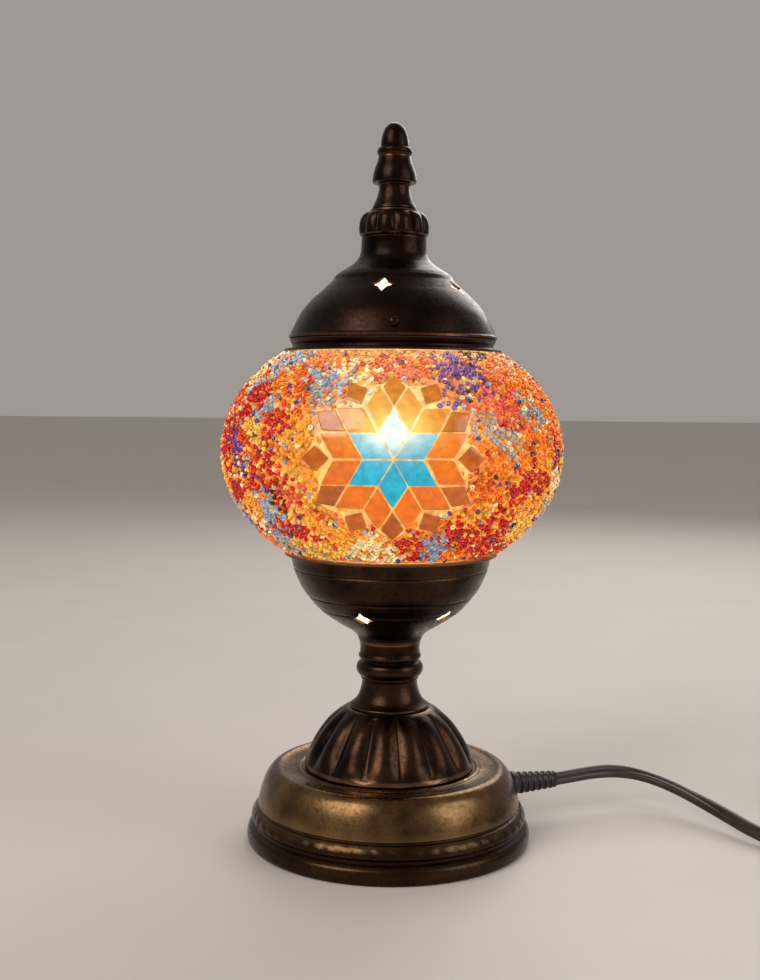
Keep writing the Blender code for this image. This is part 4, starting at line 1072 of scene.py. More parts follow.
GLASS_TONES: dict[str, LitGlass] = {
    "star": LitGlass("turquoise tile", (0.006, 0.37, 0.52), (0.95, 1.0, 0.86), 0.95, 0.18, streaks=0.14),
    "petal": LitGlass("amber tile", (0.76, 0.150, 0.004), (1.0, 0.80, 0.16), 0.95, 0.10, streaks=0.10),
    "rim": LitGlass("umber tile", (0.50, 0.105, 0.006), (1.0, 0.52, 0.05), 0.80, 0.10, streaks=0.14),
    "grout": LitGlass(
        "cream grout", (0.86, 0.44, 0.12), (1.0, 0.90, 0.50), 0.95, 0.3, streaks=0.45, roughness=0.4
    ),
    "glue": LitGlass(
        "amber glue", (0.80, 0.235, 0.035), (1.0, 0.72, 0.22), 0.85, 0.3, streaks=0.75, roughness=0.25
    ),
    "bowl": LitGlass("lit clear glass", (1.0, 0.62, 0.26), (1.0, 0.90, 0.60), 1.1, 0.5, streaks=0.1),
}


@dataclass(frozen=True)
class Seed:
    """A colour of seed bead, by how much of it there is."""

    name: str
    colour: Colour
    share: float
    light: float = 1.0


SEEDS = (
    Seed("orange", (0.86, 0.19, 0.012), 0.20),
    Seed("deep_orange", (0.66, 0.085, 0.008), 0.12),
    Seed("amber", (0.88, 0.36, 0.030), 0.17),
    Seed("honey", (0.82, 0.47, 0.075), 0.12),
    Seed("straw", (0.88, 0.72, 0.36), 0.09),
    Seed("red", (0.52, 0.012, 0.012), 0.09, 0.95),
    Seed("coral", (0.70, 0.085, 0.055), 0.04),
    Seed("blue", (0.030, 0.055, 0.24), 0.030, 0.9),
    Seed("sky", (0.26, 0.38, 0.50), 0.030, 0.9),
    Seed("violet", (0.13, 0.045, 0.26), 0.025, 0.9),
    Seed("petrol", (0.020, 0.075, 0.105), 0.020, 0.9),
    Seed("olive", (0.36, 0.34, 0.060), 0.020),
    Seed("silver", (0.42, 0.42, 0.38), 0.025, 0.7),
    Seed("umber", (0.085, 0.026, 0.016), 0.018, 0.6),
)


@dataclass
class Globe:
    """The glass bowl with its crust of seed beads, its three medallions and the ring on its top."""

    shape: GlobeShape = GlobeShape()
    glass: tuple[float, float] = (2.3 * MM, 4.5 * MM)
    glue: tuple[float, float] = (1.25 * MM, 2.1 * MM)
    foot_gap: float = 0.6 * MM
    top_gap: float = 0.2 * MM
    pitch: float = 2.02 * MM
    jostle: float = 0.14
    ring: float = 0.62 * MM
    thread: float = 0.43 * MM
    bead_length: float = 1.35
    bead_sizes: tuple[float, float] = (0.86, 1.14)
    bead_lifts: tuple[float, float] = (-0.30, 0.22)
    sunk: float = 0.25 * MM
    patches: int = 150
    patch_blur: float = 1.3 * MM
    stray: float = 0.30
    bare: float = 24.5 * MM
    crowded: float = 33.5 * MM
    sparse_share: float = 0.72
    tile_margin: float = 0.75 * MM
    tile_top: float = 0.05 * MM
    tile_foot: float = 1.7 * MM
    tile_slip: float = 0.12 * MM
    tile_swing: float = 0.022
    tile_lift: float = 0.15
    tile_sizes: tuple[float, float] = (0.965, 1.0)
    tile_tints: tuple[float, float] = (0.88, 1.08)
    grout_radius: float = 29.5 * MM
    grout_depth: float = 0.85 * MM
    grout_wall: float = 0.9 * MM

    def build(self) -> None:
        """Makes the bowl, the glue, the tiles, the beads and the ring."""
        self.chance = np.random.default_rng(11)
        self.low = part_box("bead_crust")[0][2] - self.shape.centre
        self.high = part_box("bead_crust")[1][2] - self.shape.centre
        self.build_bowl()
        self.plan = Medallion().tiles()
        for number in range(self.shape.medallions):
            self.build_medallion(number)
        self.build_beads()
        self.build_ring()

    def marked(self, piece: Mesh) -> Mesh:
        """Marks a piece's points with how hot the light behind them is."""
        spots = corners(piece)
        tilt = np.arcsin(np.clip((spots[:, 2] - self.shape.centre) / self.shape.half, -1, 1))
        across, up = self.shape.spot_of(np.arctan2(spots[:, 0], -spots[:, 1]), tilt)
        return stamp(piece, hot=heat(across, up), tint=1.0)

    def build_bowl(self) -> None:
        """Makes the glass bowl, open at both ends, and the glue that the beads sit in."""
        low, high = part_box("glass_globe")
        drop = (high[2] - low[2]) / 2
        outer, inner = (self.shape.level(-drop, drop, depth, 40) for depth in self.glass)
        bowl = self.marked(lathe("glass_bowl", [*outer, *inner[::-1]], 128))
        soften(bowl, 0.5 * MM, 2, 50)
        hand_over(bowl, Body.GLOBE, GLASS_TONES["bowl"], ["glass_globe"])
        outer, inner = (self.shape.level(self.low, self.high, depth, 60) for depth in self.glue)
        glue = lathe("glue_bed", [*outer, *inner[::-1]], 180)
        hand_over(self.marked(glue), Body.GLOBE, GLASS_TONES["glue"], ["bead_crust"])

    def tile_blank(self) -> Mesh:
        """A tile of unit size with a rounded top, cut fine enough to take the globe's curve."""
        deselect()
        bpy.ops.mesh.primitive_cube_add(size=1.0, enter_editmode=True)
        blank = bpy.context.object
        take_all()
        bpy.ops.mesh.subdivide(number_cuts=5)
        bpy.ops.mesh.select_all(action="DESELECT")
        bpy.ops.mesh.edges_select_sharp(sharpness=radians(45))
        bpy.ops.mesh.bevel(offset=0.055, segments=2, affect="EDGES")
        leave_edit()
        return blank

    def build_medallion(self, number: int) -> None:
        """Makes a medallion's tiles and the grout under them."""
        middle = number * 2 * pi / self.shape.medallions
        blank = self.tile_blank()
        unit = corners(blank)
        depth = self.tile_foot - self.tile_top
        nodes = [f"tile_medallion_{number + 1}"]
        for kind in ("star", "petal", "rim"):
            copies, tints, hot = [], [], []
            for tile in (tile for tile in self.plan if tile.kind == kind):
                quad = np.array(tile.outline)
                slip = self.chance.normal(0, self.tile_slip, 2)
                turn = self.chance.normal(0, self.tile_swing)
                centre = quad.mean(axis=0)
                swing = np.array([[cos(turn), -sin(turn)], [sin(turn), cos(turn)]])
                quad = (quad - centre) @ swing.T * self.chance.uniform(*self.tile_sizes) + centre + slip
                u, v = unit[:, 0:1] + 0.5, unit[:, 1:2] + 0.5
                near, far = quad[0] * (1 - u) + quad[1] * u, quad[3] * (1 - u) + quad[2] * u
                flat = near * (1 - v) + far * v
                lift = self.chance.uniform(-self.tile_lift, self.tile_lift) * MM
                inset = self.tile_top - lift + depth * (0.5 - unit[:, 2])
                copies.append(self.shape.point(middle, flat[:, 0], flat[:, 1], inset))
                hot.append(heat(flat[:, 0], flat[:, 1]))
                tints.append(np.full(len(unit), self.chance.uniform(*self.tile_tints)))
            marks = {"hot": np.concatenate(hot), "tint": np.concatenate(tints)}
            tiles = many(f"{kind}_tiles_{number + 1}", blank, copies, marks)
            hand_over(tiles, Body.GLOBE, GLASS_TONES[kind], nodes)
        bpy.data.objects.remove(blank)
        self.build_grout(number, middle, nodes)

    def build_grout(self, number: int, middle: float, nodes: list[str]) -> None:
        """Makes the grout of a medallion, wavy at its edge and a little below its tiles."""
        deselect()
        bpy.ops.mesh.primitive_circle_add(
            vertices=96, radius=self.grout_radius, fill_type="TRIFAN", enter_editmode=True
        )
        bed = bpy.context.object
        take_all()
        bpy.ops.mesh.subdivide(number_cuts=11)
        take_all()
        bpy.ops.mesh.remove_doubles(threshold=HAIR)
        take_all()
        bpy.ops.mesh.extrude_region_move(TRANSFORM_OT_translate={"value": (0, 0, -self.grout_wall)})
        take_all()
        bpy.ops.mesh.normals_make_consistent(inside=False)
        leave_edit()
        spots = corners(bed)
        turn = np.arctan2(spots[:, 1], spots[:, 0])
        spots[:, :2] *= (1 + 0.045 * np.cos(12 * turn) + 0.02 * np.sin(7 * turn + number))[:, None]
        ripple = 0.10 * MM * (np.sin(spots[:, 0] * 2100) + np.sin(spots[:, 1] * 1900 + number))
        depth = self.grout_depth - spots[:, 2] - ripple
        push(bed, self.shape.point(middle, spots[:, 0], spots[:, 1], depth))
        self.marked(settle(bed, f"grout_{number + 1}"))
        hand_over(bed, Body.GLOBE, GLASS_TONES["grout"], nodes)

    def free_of_tiles(self, across: np.ndarray, up: np.ndarray, margin: float) -> np.ndarray:
        """Which places on the globe keep a margin to every tile."""
        free = np.ones(len(across), bool)
        for tile in self.plan:
            quad = np.array(tile.outline)
            edges = np.roll(quad, -1, axis=0) - quad
            lengths = np.hypot(*edges.T)
            side = [
                ((up - spot[1]) * edge[0] - (across - spot[0]) * edge[1]) / length
                for spot, edge, length in zip(quad, edges, lengths)
            ]
            inside = np.all(np.array(side) > -margin, axis=0) | np.all(np.array(side) < margin, axis=0)
            free &= ~inside
        return free

    def bead_places(self) -> tuple[np.ndarray, np.ndarray]:
        """The angle and the tilt of each bead, spread evenly over the crust and then jostled."""
        shape = self.shape
        ends = np.array([self.low + self.foot_gap, self.high - self.top_gap]) / shape.half
        tilts = np.linspace(*np.arcsin(ends), 2000)
        strip = np.cos(tilts) * np.hypot(shape.radius * np.sin(tilts), shape.half * np.cos(tilts))
        area = np.concatenate([[0.0], np.cumsum((strip[1:] + strip[:-1]) / 2 * np.diff(tilts))])
        count = int(2 * pi * shape.radius * area[-1] / (self.pitch**2 * sqrt(3) / 2))
        order = (np.arange(count) + 0.5) / count * area[-1]
        slip = self.jostle * self.pitch
        tilt = np.interp(order, area, tilts) + self.chance.normal(0, slip / shape.half, count)
        golden = pi * (3 - sqrt(5))
        angle = np.arange(count) * golden + self.chance.normal(0, slip / shape.radius, count)
        return angle, np.clip(tilt, tilts[0], tilts[-1])

    def build_beads(self) -> None:
        """Makes the crust of seed beads, in drifts of one colour with strays between them."""
        shape = self.shape
        angle, tilt = self.bead_places()
        across, up = shape.spot_of(angle, tilt)
        away = np.hypot(across, up)
        free = self.free_of_tiles(across, up, self.tile_margin)
        sparse = (away > self.bare) & (self.chance.random(len(angle)) < self.sparse_share)
        keep = free & ((away >= self.crowded) | sparse)
        angle, tilt, across, up = angle[keep], tilt[keep], across[keep], up[keep]
        count = len(angle)

        depth = self.ring + self.thread - self.sunk + self.chance.uniform(*self.bead_lifts, count) * MM
        level = (shape.radius - depth) * np.cos(tilt)
        height = shape.centre + (shape.half - depth) * np.sin(tilt)
        spots = np.column_stack([level * np.sin(angle), -level * np.cos(angle), height])

        shares = np.array([seed.share for seed in SEEDS])
        shares /= shares.sum()
        homes = spots[self.chance.choice(count, self.patches, replace=False)]
        tones = self.chance.choice(len(SEEDS), self.patches, p=shares)
        wander = spots + self.chance.normal(0, self.patch_blur, spots.shape)
        nearest = np.argmin(((wander[:, None] - homes[None]) ** 2).sum(axis=2), axis=1)
        colour = tones[nearest]
        strays = self.chance.random(count) < self.stray
        colour[strays] = self.chance.choice(len(SEEDS), strays.sum(), p=shares)

        deselect()
        bpy.ops.mesh.primitive_torus_add(
            major_radius=self.ring, minor_radius=self.thread, major_segments=8, minor_segments=4
        )
        blank = bpy.context.object
        bpy.ops.object.mode_set(mode="EDIT")
        take_all()
        bpy.ops.transform.resize(value=(1, 1, self.bead_length))
        leave_edit()
        unit = corners(blank)
        turns = self.chance.normal(size=(count, 4))
        turns /= np.linalg.norm(turns, axis=1)[:, None]
        sizes = self.chance.uniform(*self.bead_sizes, count)
        hot = heat(across, up)
        # Painted light: each bead's glow, kept under the second mark, varies at random and is brighter where
        # the bulb's light shows behind it.
        lit = self.chance.uniform(0.55, 1.25, count) * (0.80 + 0.75 * hot)
        for number, seed in enumerate(SEEDS):
            mine = np.flatnonzero(colour == number)
            copies = [spots[i] + sizes[i] * spun_by(turns[i], unit) for i in mine]
            marks = {"hot": np.repeat(0.75 * hot[mine], len(unit)), "tint": np.repeat(lit[mine], len(unit))}
            beads = many(f"beads_{seed.name}", blank, copies, marks)
            tone = LitGlass(
                f"{seed.name} seed bead", seed.colour, light=seed.light, body=0.5, facing=True, roughness=0.12
            )
            hand_over(beads, Body.GLOBE, tone, ["bead_crust"])
        bpy.data.objects.remove(blank)

    def build_ring(self) -> None:
        """Makes the ring on the globe's top that the cap slips over."""
        outline = profile(
            [(37.3, 188.3), (41.3, 188.3)],
            [(41.3, 189.1), (38.6, 189.4)],
            [(38.3, 189.8), (38.2, 190.6), (38.6, 191.4), (38.9, 192.1)],
            [(39.1, 192.4), (39.1, 193.0), (38.1, 193.0)],
            [(37.2, 196.4), (35.2, 199.6)],
            [(34.3, 199.6), (34.3, 191.5), (31.8, 191.1)],
            [(31.8, 190.1), (37.3, 190.1)],
        )
        ring = lathe("fitter_flange", fitted(outline, "fitter_ring"), 144)
        soften(ring, 0.15 * MM, 2, 40)
        hand_over(ring, Body.GLOBE, SHADED_CAP_BRONZE, ["fitter_ring"])


def spun_by(turn: np.ndarray, spots: np.ndarray) -> np.ndarray:
    """Points turned by a unit quaternion."""
    scalar, axis = turn[0], turn[1:]
    swept = np.cross(axis, spots)
    return spots + 2 * (scalar * swept + np.cross(axis, swept))


# The cap and the finial


@dataclass
class Cap:
    """The domed cap with its star holes and set screws, and the finial on it."""

    wall: float = 1.0 * MM
    bore: float = 2.8
    star: float = 4.3 * MM
    stars: int = 5
    star_angle: float = radians(-9)
    star_rise: float = 18.9 * MM
    flutes: int = 12
    flute_depth: float = 1.3 * MM
    screws: int = 3
    screw_rise: float = 4.9 * MM

    def build(self) -> None:
        """Makes the cap, its screws and the finial's four pieces."""
        self.build_dome()
        self.build_screws()
        self.build_finial()

    def build_dome(self) -> None:
        """Makes the pierced dome."""
        low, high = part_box("cap_dome")
        outer = fitted(
            profile(
                [(self.bore, 231.7), (11.9, 231.7)],
                [(12.3, 231.3), (12.3, 228.7), (12.6, 225.9), (13.2, 224.0), (14.4, 222.3), (16.1, 220.8)],
                [(18.3, 219.4), (20.6, 218.0), (22.4, 216.5)],
                [(22.9, 215.2), (24.6, 213.6), (26.8, 211.6), (28.9, 209.8), (31.8, 206.9), (34.5, 203.6),
                 (36.4, 200.4), (38.0, 197.1), (39.2, 194.5)],
                [(39.6, 194.1), (39.6, 193.3)],
                steps=6,
            ),
            "cap_dome",
        )
        ends = (outer[0][0], high[2] - self.wall), (outer[-1][0] - self.wall, low[2])
        dome = hollow("cap_bell", outer, self.wall, 28, ends, 144)
        pierce(dome, outer, low[2] + self.star_rise, self.stars, self.star_angle, self.star)
        self.radius_at_screw, self.lean_at_screw = at_height(outer, low[2] + self.screw_rise)
        light_inside(dome, SHADED_CAP_BRONZE, 0.6, low[2] + 4 * MM)
        hand_over(dome, Body.CAP, SHADED_CAP_BRONZE, ["cap_dome"])

    def build_screws(self) -> None:
        """Makes the round-headed set screws, each with a slot."""
        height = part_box("cap_dome")[0][2] + self.screw_rise
        for number in range(self.screws):
            angle = number * 2 * pi / self.screws
            head = profile([(0.0, 1.05), (0.8, 0.95), (1.45, 0.62), (1.8, 0.0)], [(1.8, -0.25), (1.1, -0.25)],
                           [(1.1, -1.6), (0.0, -1.6)])
            screw = lathe(f"set_screw_{number + 1}", head, 40, closed=False)
            slot = slab("slot", (4.6 * MM, 0.45 * MM, 0.9 * MM), 1, 0.0)
            lay(slot, Matrix.Rotation(radians(35 + 50 * number), 3, "Z"), Vector((0, 0, 1.0 * MM)))
            carve(screw, slot)
            spot = around(angle, self.radius_at_screw + 0.9 * MM, height)
            lay(screw, outward(angle, self.lean_at_screw * 0.6), spot)
            settle(screw, f"set_screw_{number + 1}")
            hand_over(screw, Body.CAP, SHADED_CAP_BRONZE, [f"cap_screw_{number + 1}"])

    def build_finial(self) -> None:
        """Makes the fluted collar, the cone, the bell and the tip."""
        bore = self.bore
        low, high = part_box("cap_collar")
        outline = profile(
            [(bore, 232.0), (12.7, 232.0)],
            [(13.2, 232.5), (13.5, 233.5), (13.5, 235.7), (13.1, 237.8), (12.2, 239.4), (11.0, 240.4)],
            [(10.4, 240.6), (9.4, 240.7), (9.2, 241.2)],
            [(9.0, 241.68), (bore, 241.68)],
        )
        collar = lathe("gadroon_collar", fitted(outline, "cap_collar"), 168)
        flute(collar, self.flutes, 0.0, self.flute_depth, low[2] + 0.4 * MM, high[2] - 1.2 * MM)
        hand_over(collar, Body.CAP, SHADED_CAP_BRONZE, ["cap_collar"])
        parts = {
            "finial_cone": profile(
                [(bore, 242.0), (7.9, 242.0)],
                [(8.3, 242.3), (8.1, 243.1), (7.3, 244.8), (6.4, 247.0), (5.9, 249.2), (5.8, 250.6)],
                [(6.1, 251.0), (6.1, 251.38), (bore, 251.38)],
            ),
            "finial_bell": profile(
                [(bore, 251.68), (8.0, 251.68)],
                [(8.3, 251.9), (8.35, 253.0), (8.1, 255.2), (7.4, 257.6), (6.6, 259.6), (6.15, 261.2)],
                [(6.1, 261.78), (bore, 261.78)],
            ),
            "finial_tip": profile(
                [(bore, 262.1), (6.1, 262.1)],
                [(6.45, 262.5), (6.65, 263.2), (6.6, 264.1), (6.1, 264.8)],
                [(5.3, 265.1), (5.35, 266.4), (5.1, 268.2), (4.6, 270.3), (3.6, 272.3), (2.0, 273.8),
                 (0.0, 274.48)],
            ),
        }
        for node, outline in parts.items():
            closed = outline[-1][0] > 0
            piece = lathe(f"turned_{node}", fitted(outline, node), 96, closed)
            hand_over(piece, Body.CAP, SHADED_CAP_BRONZE, [node])


# The bulb


@dataclass
class Bulb:
    """The round bulb: its envelope and its rolled brass thread."""

    wall: float = 0.7 * MM
    throat: float = 6.3 * MM
    threads: float = 6.8
    thread_depth: float = 0.28 * MM
    thread_wall: float = 0.4 * MM

    def build(self) -> None:
        """Makes the envelope and the thread."""
        low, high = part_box("bulb_glass")
        radius = (high[0] - low[0]) / 2
        centre, neck, throat = high[2] - radius, self.throat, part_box("bulb_screw_cap")[1][2]
        turns = np.radians(np.linspace(90, -42, 34))
        ball = [(radius * cos(turn), centre + radius * sin(turn)) for turn in turns]
        ball[0] = (0.0, high[2])
        shoulder = [(13.2 * MM, throat + 4.6 * MM), (8.6 * MM, throat + 1.6 * MM)]
        foot = curve([ball[-1], *shoulder, (neck, throat)], 6)
        outer = [*ball[:-1], *foot, (neck, low[2])]
        ends = (0.0, high[2] - self.wall), (neck - self.wall, low[2])
        envelope = hollow("bulb_envelope", outer, self.wall, 40, ends, 96, closed=False)
        glow = LitGlass("frosted bulb", (1.0, 0.80, 0.45), light=2.6, body=0.8, streaks=0.06, roughness=0.35)
        stamp(envelope, hot=0.5, tint=1.0)
        hand_over(envelope, Body.BULB, glow, ["bulb_glass"])

        low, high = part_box("bulb_screw_cap")
        radius = (high[0] - low[0]) / 2
        levels = np.linspace(low[2], high[2], 73)
        wall = [(radius, float(level)) for level in levels]
        inner = [(radius - self.thread_wall, float(level)) for level in levels]
        thread = lathe("bulb_thread", [*wall, *inner[::-1]], 48)

        def rolled(reach: np.ndarray, angle: np.ndarray, height: np.ndarray) -> np.ndarray:
            """How far the thread's hollows lie in at each point."""
            rise = (height - low[2]) / (high[2] - low[2])
            roll = 0.5 - 0.5 * np.cos(2 * pi * self.threads * rise - angle + pi / 2)
            return -roll * self.thread_depth * np.clip(5 * np.minimum(rise, 1 - rise) + 0.1, 0, 1)

        swell(thread, rolled)
        hand_over(thread, Body.BULB, BRASS, ["bulb_screw_cap"])


# The cord and what is on it


def smoothed(route: Sequence[Sequence[float]], spacing: float) -> np.ndarray:
    """Points a spacing apart on a smooth curve through a route."""
    fine = curve(route, 24)
    run = run_along(fine)
    even = np.linspace(0, run[-1], max(2, round(run[-1] / spacing)) + 1)
    return np.column_stack([np.interp(even, run, fine[:, axis]) for axis in range(3)])


@dataclass
class Coil:
    """Eight turns of lead on edge, four beside each other on each of two layers."""

    centre: tuple[float, float] = (0.2085, 0.0320)
    outermost: float = 35.6 * MM
    step: float = 3.4 * MM
    turns: int = 8
    low: float = 2.9 * MM
    high: float = 8.5 * MM
    entry: float = 40.6 * MM
    come_in: tuple[float, float] = (0.0, 0.28)
    step_in: tuple[float, float] = (0.75, 0.25)
    climb: tuple[float, float] = (0.653, 0.208)
    step_out: tuple[float, float] = (0.514, 0.25)
    go_out: tuple[float, float] = (0.72, 0.28)

    def place(self, turned: float) -> tuple[float, float, float]:
        """The lead's place after a number of turns."""
        lap = min(int(turned), self.turns - 1)
        angle = turned - lap
        half = self.turns // 2
        innermost = self.outermost - (half - 1) * self.step
        level = self.low if lap < half else self.high
        if lap < half:
            radius = self.outermost - lap * self.step
            if lap == 0:
                radius += (self.entry - self.outermost) * (1 - ease(angle, *self.come_in))
            if lap < half - 1:
                radius -= self.step * ease(angle, *self.step_in)
            else:
                level += (self.high - self.low) * ease(angle, *self.climb)
        else:
            radius = innermost + self.step * (lap - half + ease(angle, *self.step_out))
            if lap == self.turns - 1:
                radius += (self.entry - self.outermost - self.step) * ease(angle, *self.go_out)
        turn = 2 * pi * angle
        return (self.centre[0] + radius * cos(turn), self.centre[1] + radius * sin(turn), level)

    def route(self) -> list[tuple[float, float, float]]:
        """Points along the whole coil, some dozens to a turn."""
        return [self.place(turned) for turned in np.linspace(0, self.turns, 40 * self.turns + 1)]


def ease(angle: float, start: float, length: float) -> float:
    """A smooth step from 0 to 1, over a length from a start."""
    held = min(max((angle - start) / length, 0.0), 1.0)
    return held * held * (3 - 2 * held)


@dataclass
class Cord:
    """The flat twin lead: from the base to the switch, and on through its coil to the plug."""

    width: float = 5.4 * MM
    thickness: float = 3.2 * MM
    spacing: float = 2.0 * MM
    exit_angle: float = radians(110)
    exit_height: float = 15.5 * MM
    gland_seat: float = 52.6 * MM
    gland_length: float = 20.0 * MM
    roll_length: float = 40.0 * MM
    strap_angle: float = radians(150)
    strap_inside: float = 7.35 * MM
    strap_wall: float = 0.8 * MM
    strap_width: float = 5.6 * MM
    to_switch: tuple[tuple[float, float, float], ...] = (
        (0.0765, 0.0285, 0.0158), (0.0850, 0.0330, 0.0159), (0.0935, 0.0365, 0.0155),
        (0.1020, 0.0374, 0.0145), (0.1100, 0.0350, 0.0130), (0.1172, 0.0300, 0.0113),
        (0.1237, 0.0230, 0.0095), (0.1298, 0.0150, 0.0078), (0.1355, 0.0060, 0.0062),
        (0.1408, -0.0035, 0.0049), (0.1470, -0.0120, 0.0042), (0.1560, -0.0178, 0.0052),
        (0.1682, -0.0192, 0.0072),
    )
    to_coil: tuple[tuple[float, float, float], ...] = (
        (0.2258, -0.0192, 0.0072), (0.2340, -0.0178, 0.0060), (0.2410, -0.0130, 0.0042),
        (0.2460, -0.0050, 0.0032), (0.2484, 0.0050, 0.0030), (0.2491, 0.0160, 0.0030),
    )
    to_plug: tuple[tuple[float, float, float], ...] = (
        (0.2492, 0.0400, 0.0083), (0.2488, 0.0480, 0.0076), (0.2482, 0.0555, 0.0072),
    )
    near_rolls: tuple[tuple[float, float], ...] = (
        (0.0, 90), (0.16, 82), (0.34, 18), (0.48, 12), (0.66, 62), (0.84, 70), (1.0, 0)
    )

    def section(self) -> np.ndarray:
        """The outline of two conductors side by side."""
        radius = self.thickness / 2
        shift = self.width / 2 - radius
        waist = np.arccos(-shift / radius)
        right = [(shift + radius * cos(t), radius * sin(t)) for t in np.linspace(-waist, waist, 11)]
        left = [(-x, -y) for x, y in right]
        return np.array([*right[:-1], *left[:-1]])

    def sweep(self, name: str, path: np.ndarray, rolls: Sequence[tuple[float, float]]) -> Mesh:
        """The lead along a path.

        Args:
            name: The piece's name.
            path: The points of its middle line.
            rolls: How far its flat side is turned up from level, in degrees, at shares of its length.

        Returns:
            The lead, closed at its ends.
        """
        ahead = np.gradient(path, axis=0)
        ahead /= np.linalg.norm(ahead, axis=1)[:, None]
        level = np.cross([0, 0, 1], ahead)
        level /= np.linalg.norm(level, axis=1)[:, None]
        upright = np.cross(ahead, level)
        share = np.linspace(0, 1, len(path))
        roll = np.radians(np.interp(share, *np.array(rolls).T))[:, None]
        side = level * np.cos(roll) + upright * np.sin(roll)
        face = np.cross(ahead, side)
        outline = self.section()
        rings = path[:, None] + side[:, None] * outline[None, :, :1] + face[:, None] * outline[None, :, 1:]
        count, round_count = len(path), len(outline)
        faces = []
        for ring in range(count - 1):
            for corner in range(round_count):
                after = (corner + 1) % round_count
                faces.append((
                    ring * round_count + corner, ring * round_count + after,
                    (ring + 1) * round_count + after, (ring + 1) * round_count + corner,
                ))
        faces.append(tuple(reversed(range(round_count))))
        faces.append(tuple((count - 1) * round_count + corner for corner in range(round_count)))
        mesh = bpy.data.meshes.new(name)
        mesh.from_pydata(rings.reshape(-1, 3).tolist(), [], faces)
        return settle(placed(name, mesh), name, 60)

    def build(self) -> None:
        """Makes both leads, the strain reliefs and the strap round the coil."""
        gland = self.build_gland()
        tip = around(self.exit_angle, self.gland_seat + self.gland_length + 2 * GAP, self.exit_height)
        near = smoothed([tuple(tip), *self.to_switch], self.spacing)
        supply = self.sweep("supply_lead", near, self.near_rolls)
        hand_over(supply, Body.ROOT, FLEX, ["supply_cord"])
        switch = Switch().build()

        route = [*self.to_coil, *Coil().route(), *self.to_plug]
        path = smoothed(route, self.spacing)
        length = float(run_along(path)[-1])
        upright = self.roll_length / length
        rolls = [(0.0, 0), (upright, 90), (1 - 0.6 * upright, 90), (1.0, 0)]
        far = self.sweep("coiled_lead", path, rolls)
        hand_over(far, Body.ROOT, FLEX, ["switch_cord", "cord_coil", "plug_cord"])
        strap = self.build_strap()
        plug = Plug().build()
        LOG.info("leads measure %.3f and %.3f m", run_along(near)[-1], length)

    def build_gland(self) -> Mesh:
        """Makes the tapered strain relief in the base, with its ribs."""
        ribs = []
        for number in range(6):
            at = 3.4 + 2.7 * number
            size = 4.35 - 0.17 * number
            ribs += [(size - 0.45, at), (size, at + 0.5), (size, at + 1.3), (size - 0.45, at + 1.8)]
        outline = profile(
            [(3.05, -6.0), (4.3, -6.0)], [(4.3, 0.0), (4.6, 0.0)], [(4.75, 0.4), (4.75, 1.5), (4.4, 2.1)],
            *[[spot] for spot in ribs], [(3.35, 19.6), (3.15, 20.0), (3.05, 20.0)],
        )
        gland = lathe("ribbed_gland", outline, 64)
        lay(gland, outward(self.exit_angle), around(self.exit_angle, self.gland_seat, self.exit_height))
        settle(gland, "ribbed_gland")
        return hand_over(gland, Body.ROOT, SWITCH_PLASTIC, ["cord_gland"])

    def build_strap(self) -> Mesh:
        """Makes the strap round the coil's turns."""
        low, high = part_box("coil_tie")
        centre = ((low[0] + high[0]) / 2, (low[1] + high[1]) / 2)
        inside, thick = self.strap_inside, self.strap_wall
        top = high[2] - thick
        size = (2 * (inside + thick), self.strap_width, high[2] - low[2])
        strap = slab("coil_strap", size, 1, 0.35 * MM)
        hollow = slab("hollow", (2 * inside, 8 * MM, top), 1, 0.0)
        lay(hollow, Matrix.Identity(3), Vector((0, 0, -thick / 2 - 0.1 * MM)))
        carve(strap, hollow)
        buckle = slab("buckle", (4.4 * MM, 6.4 * MM, 1.8 * MM), 3, 0.5 * MM)
        lay(buckle, Matrix.Identity(3), Vector((0, 0, (high[2] - low[2]) / 2 - 0.2 * MM)))
        pick(strap)
        buckle.select_set(True)
        bpy.ops.object.join()
        lay(strap, Matrix.Rotation(self.strap_angle, 3, "Z"), Vector((*centre, (low[2] + high[2]) / 2)))
        settle(strap, "coil_strap")
        return hand_over(strap, Body.ROOT, SWITCH_PLASTIC, ["coil_tie"])


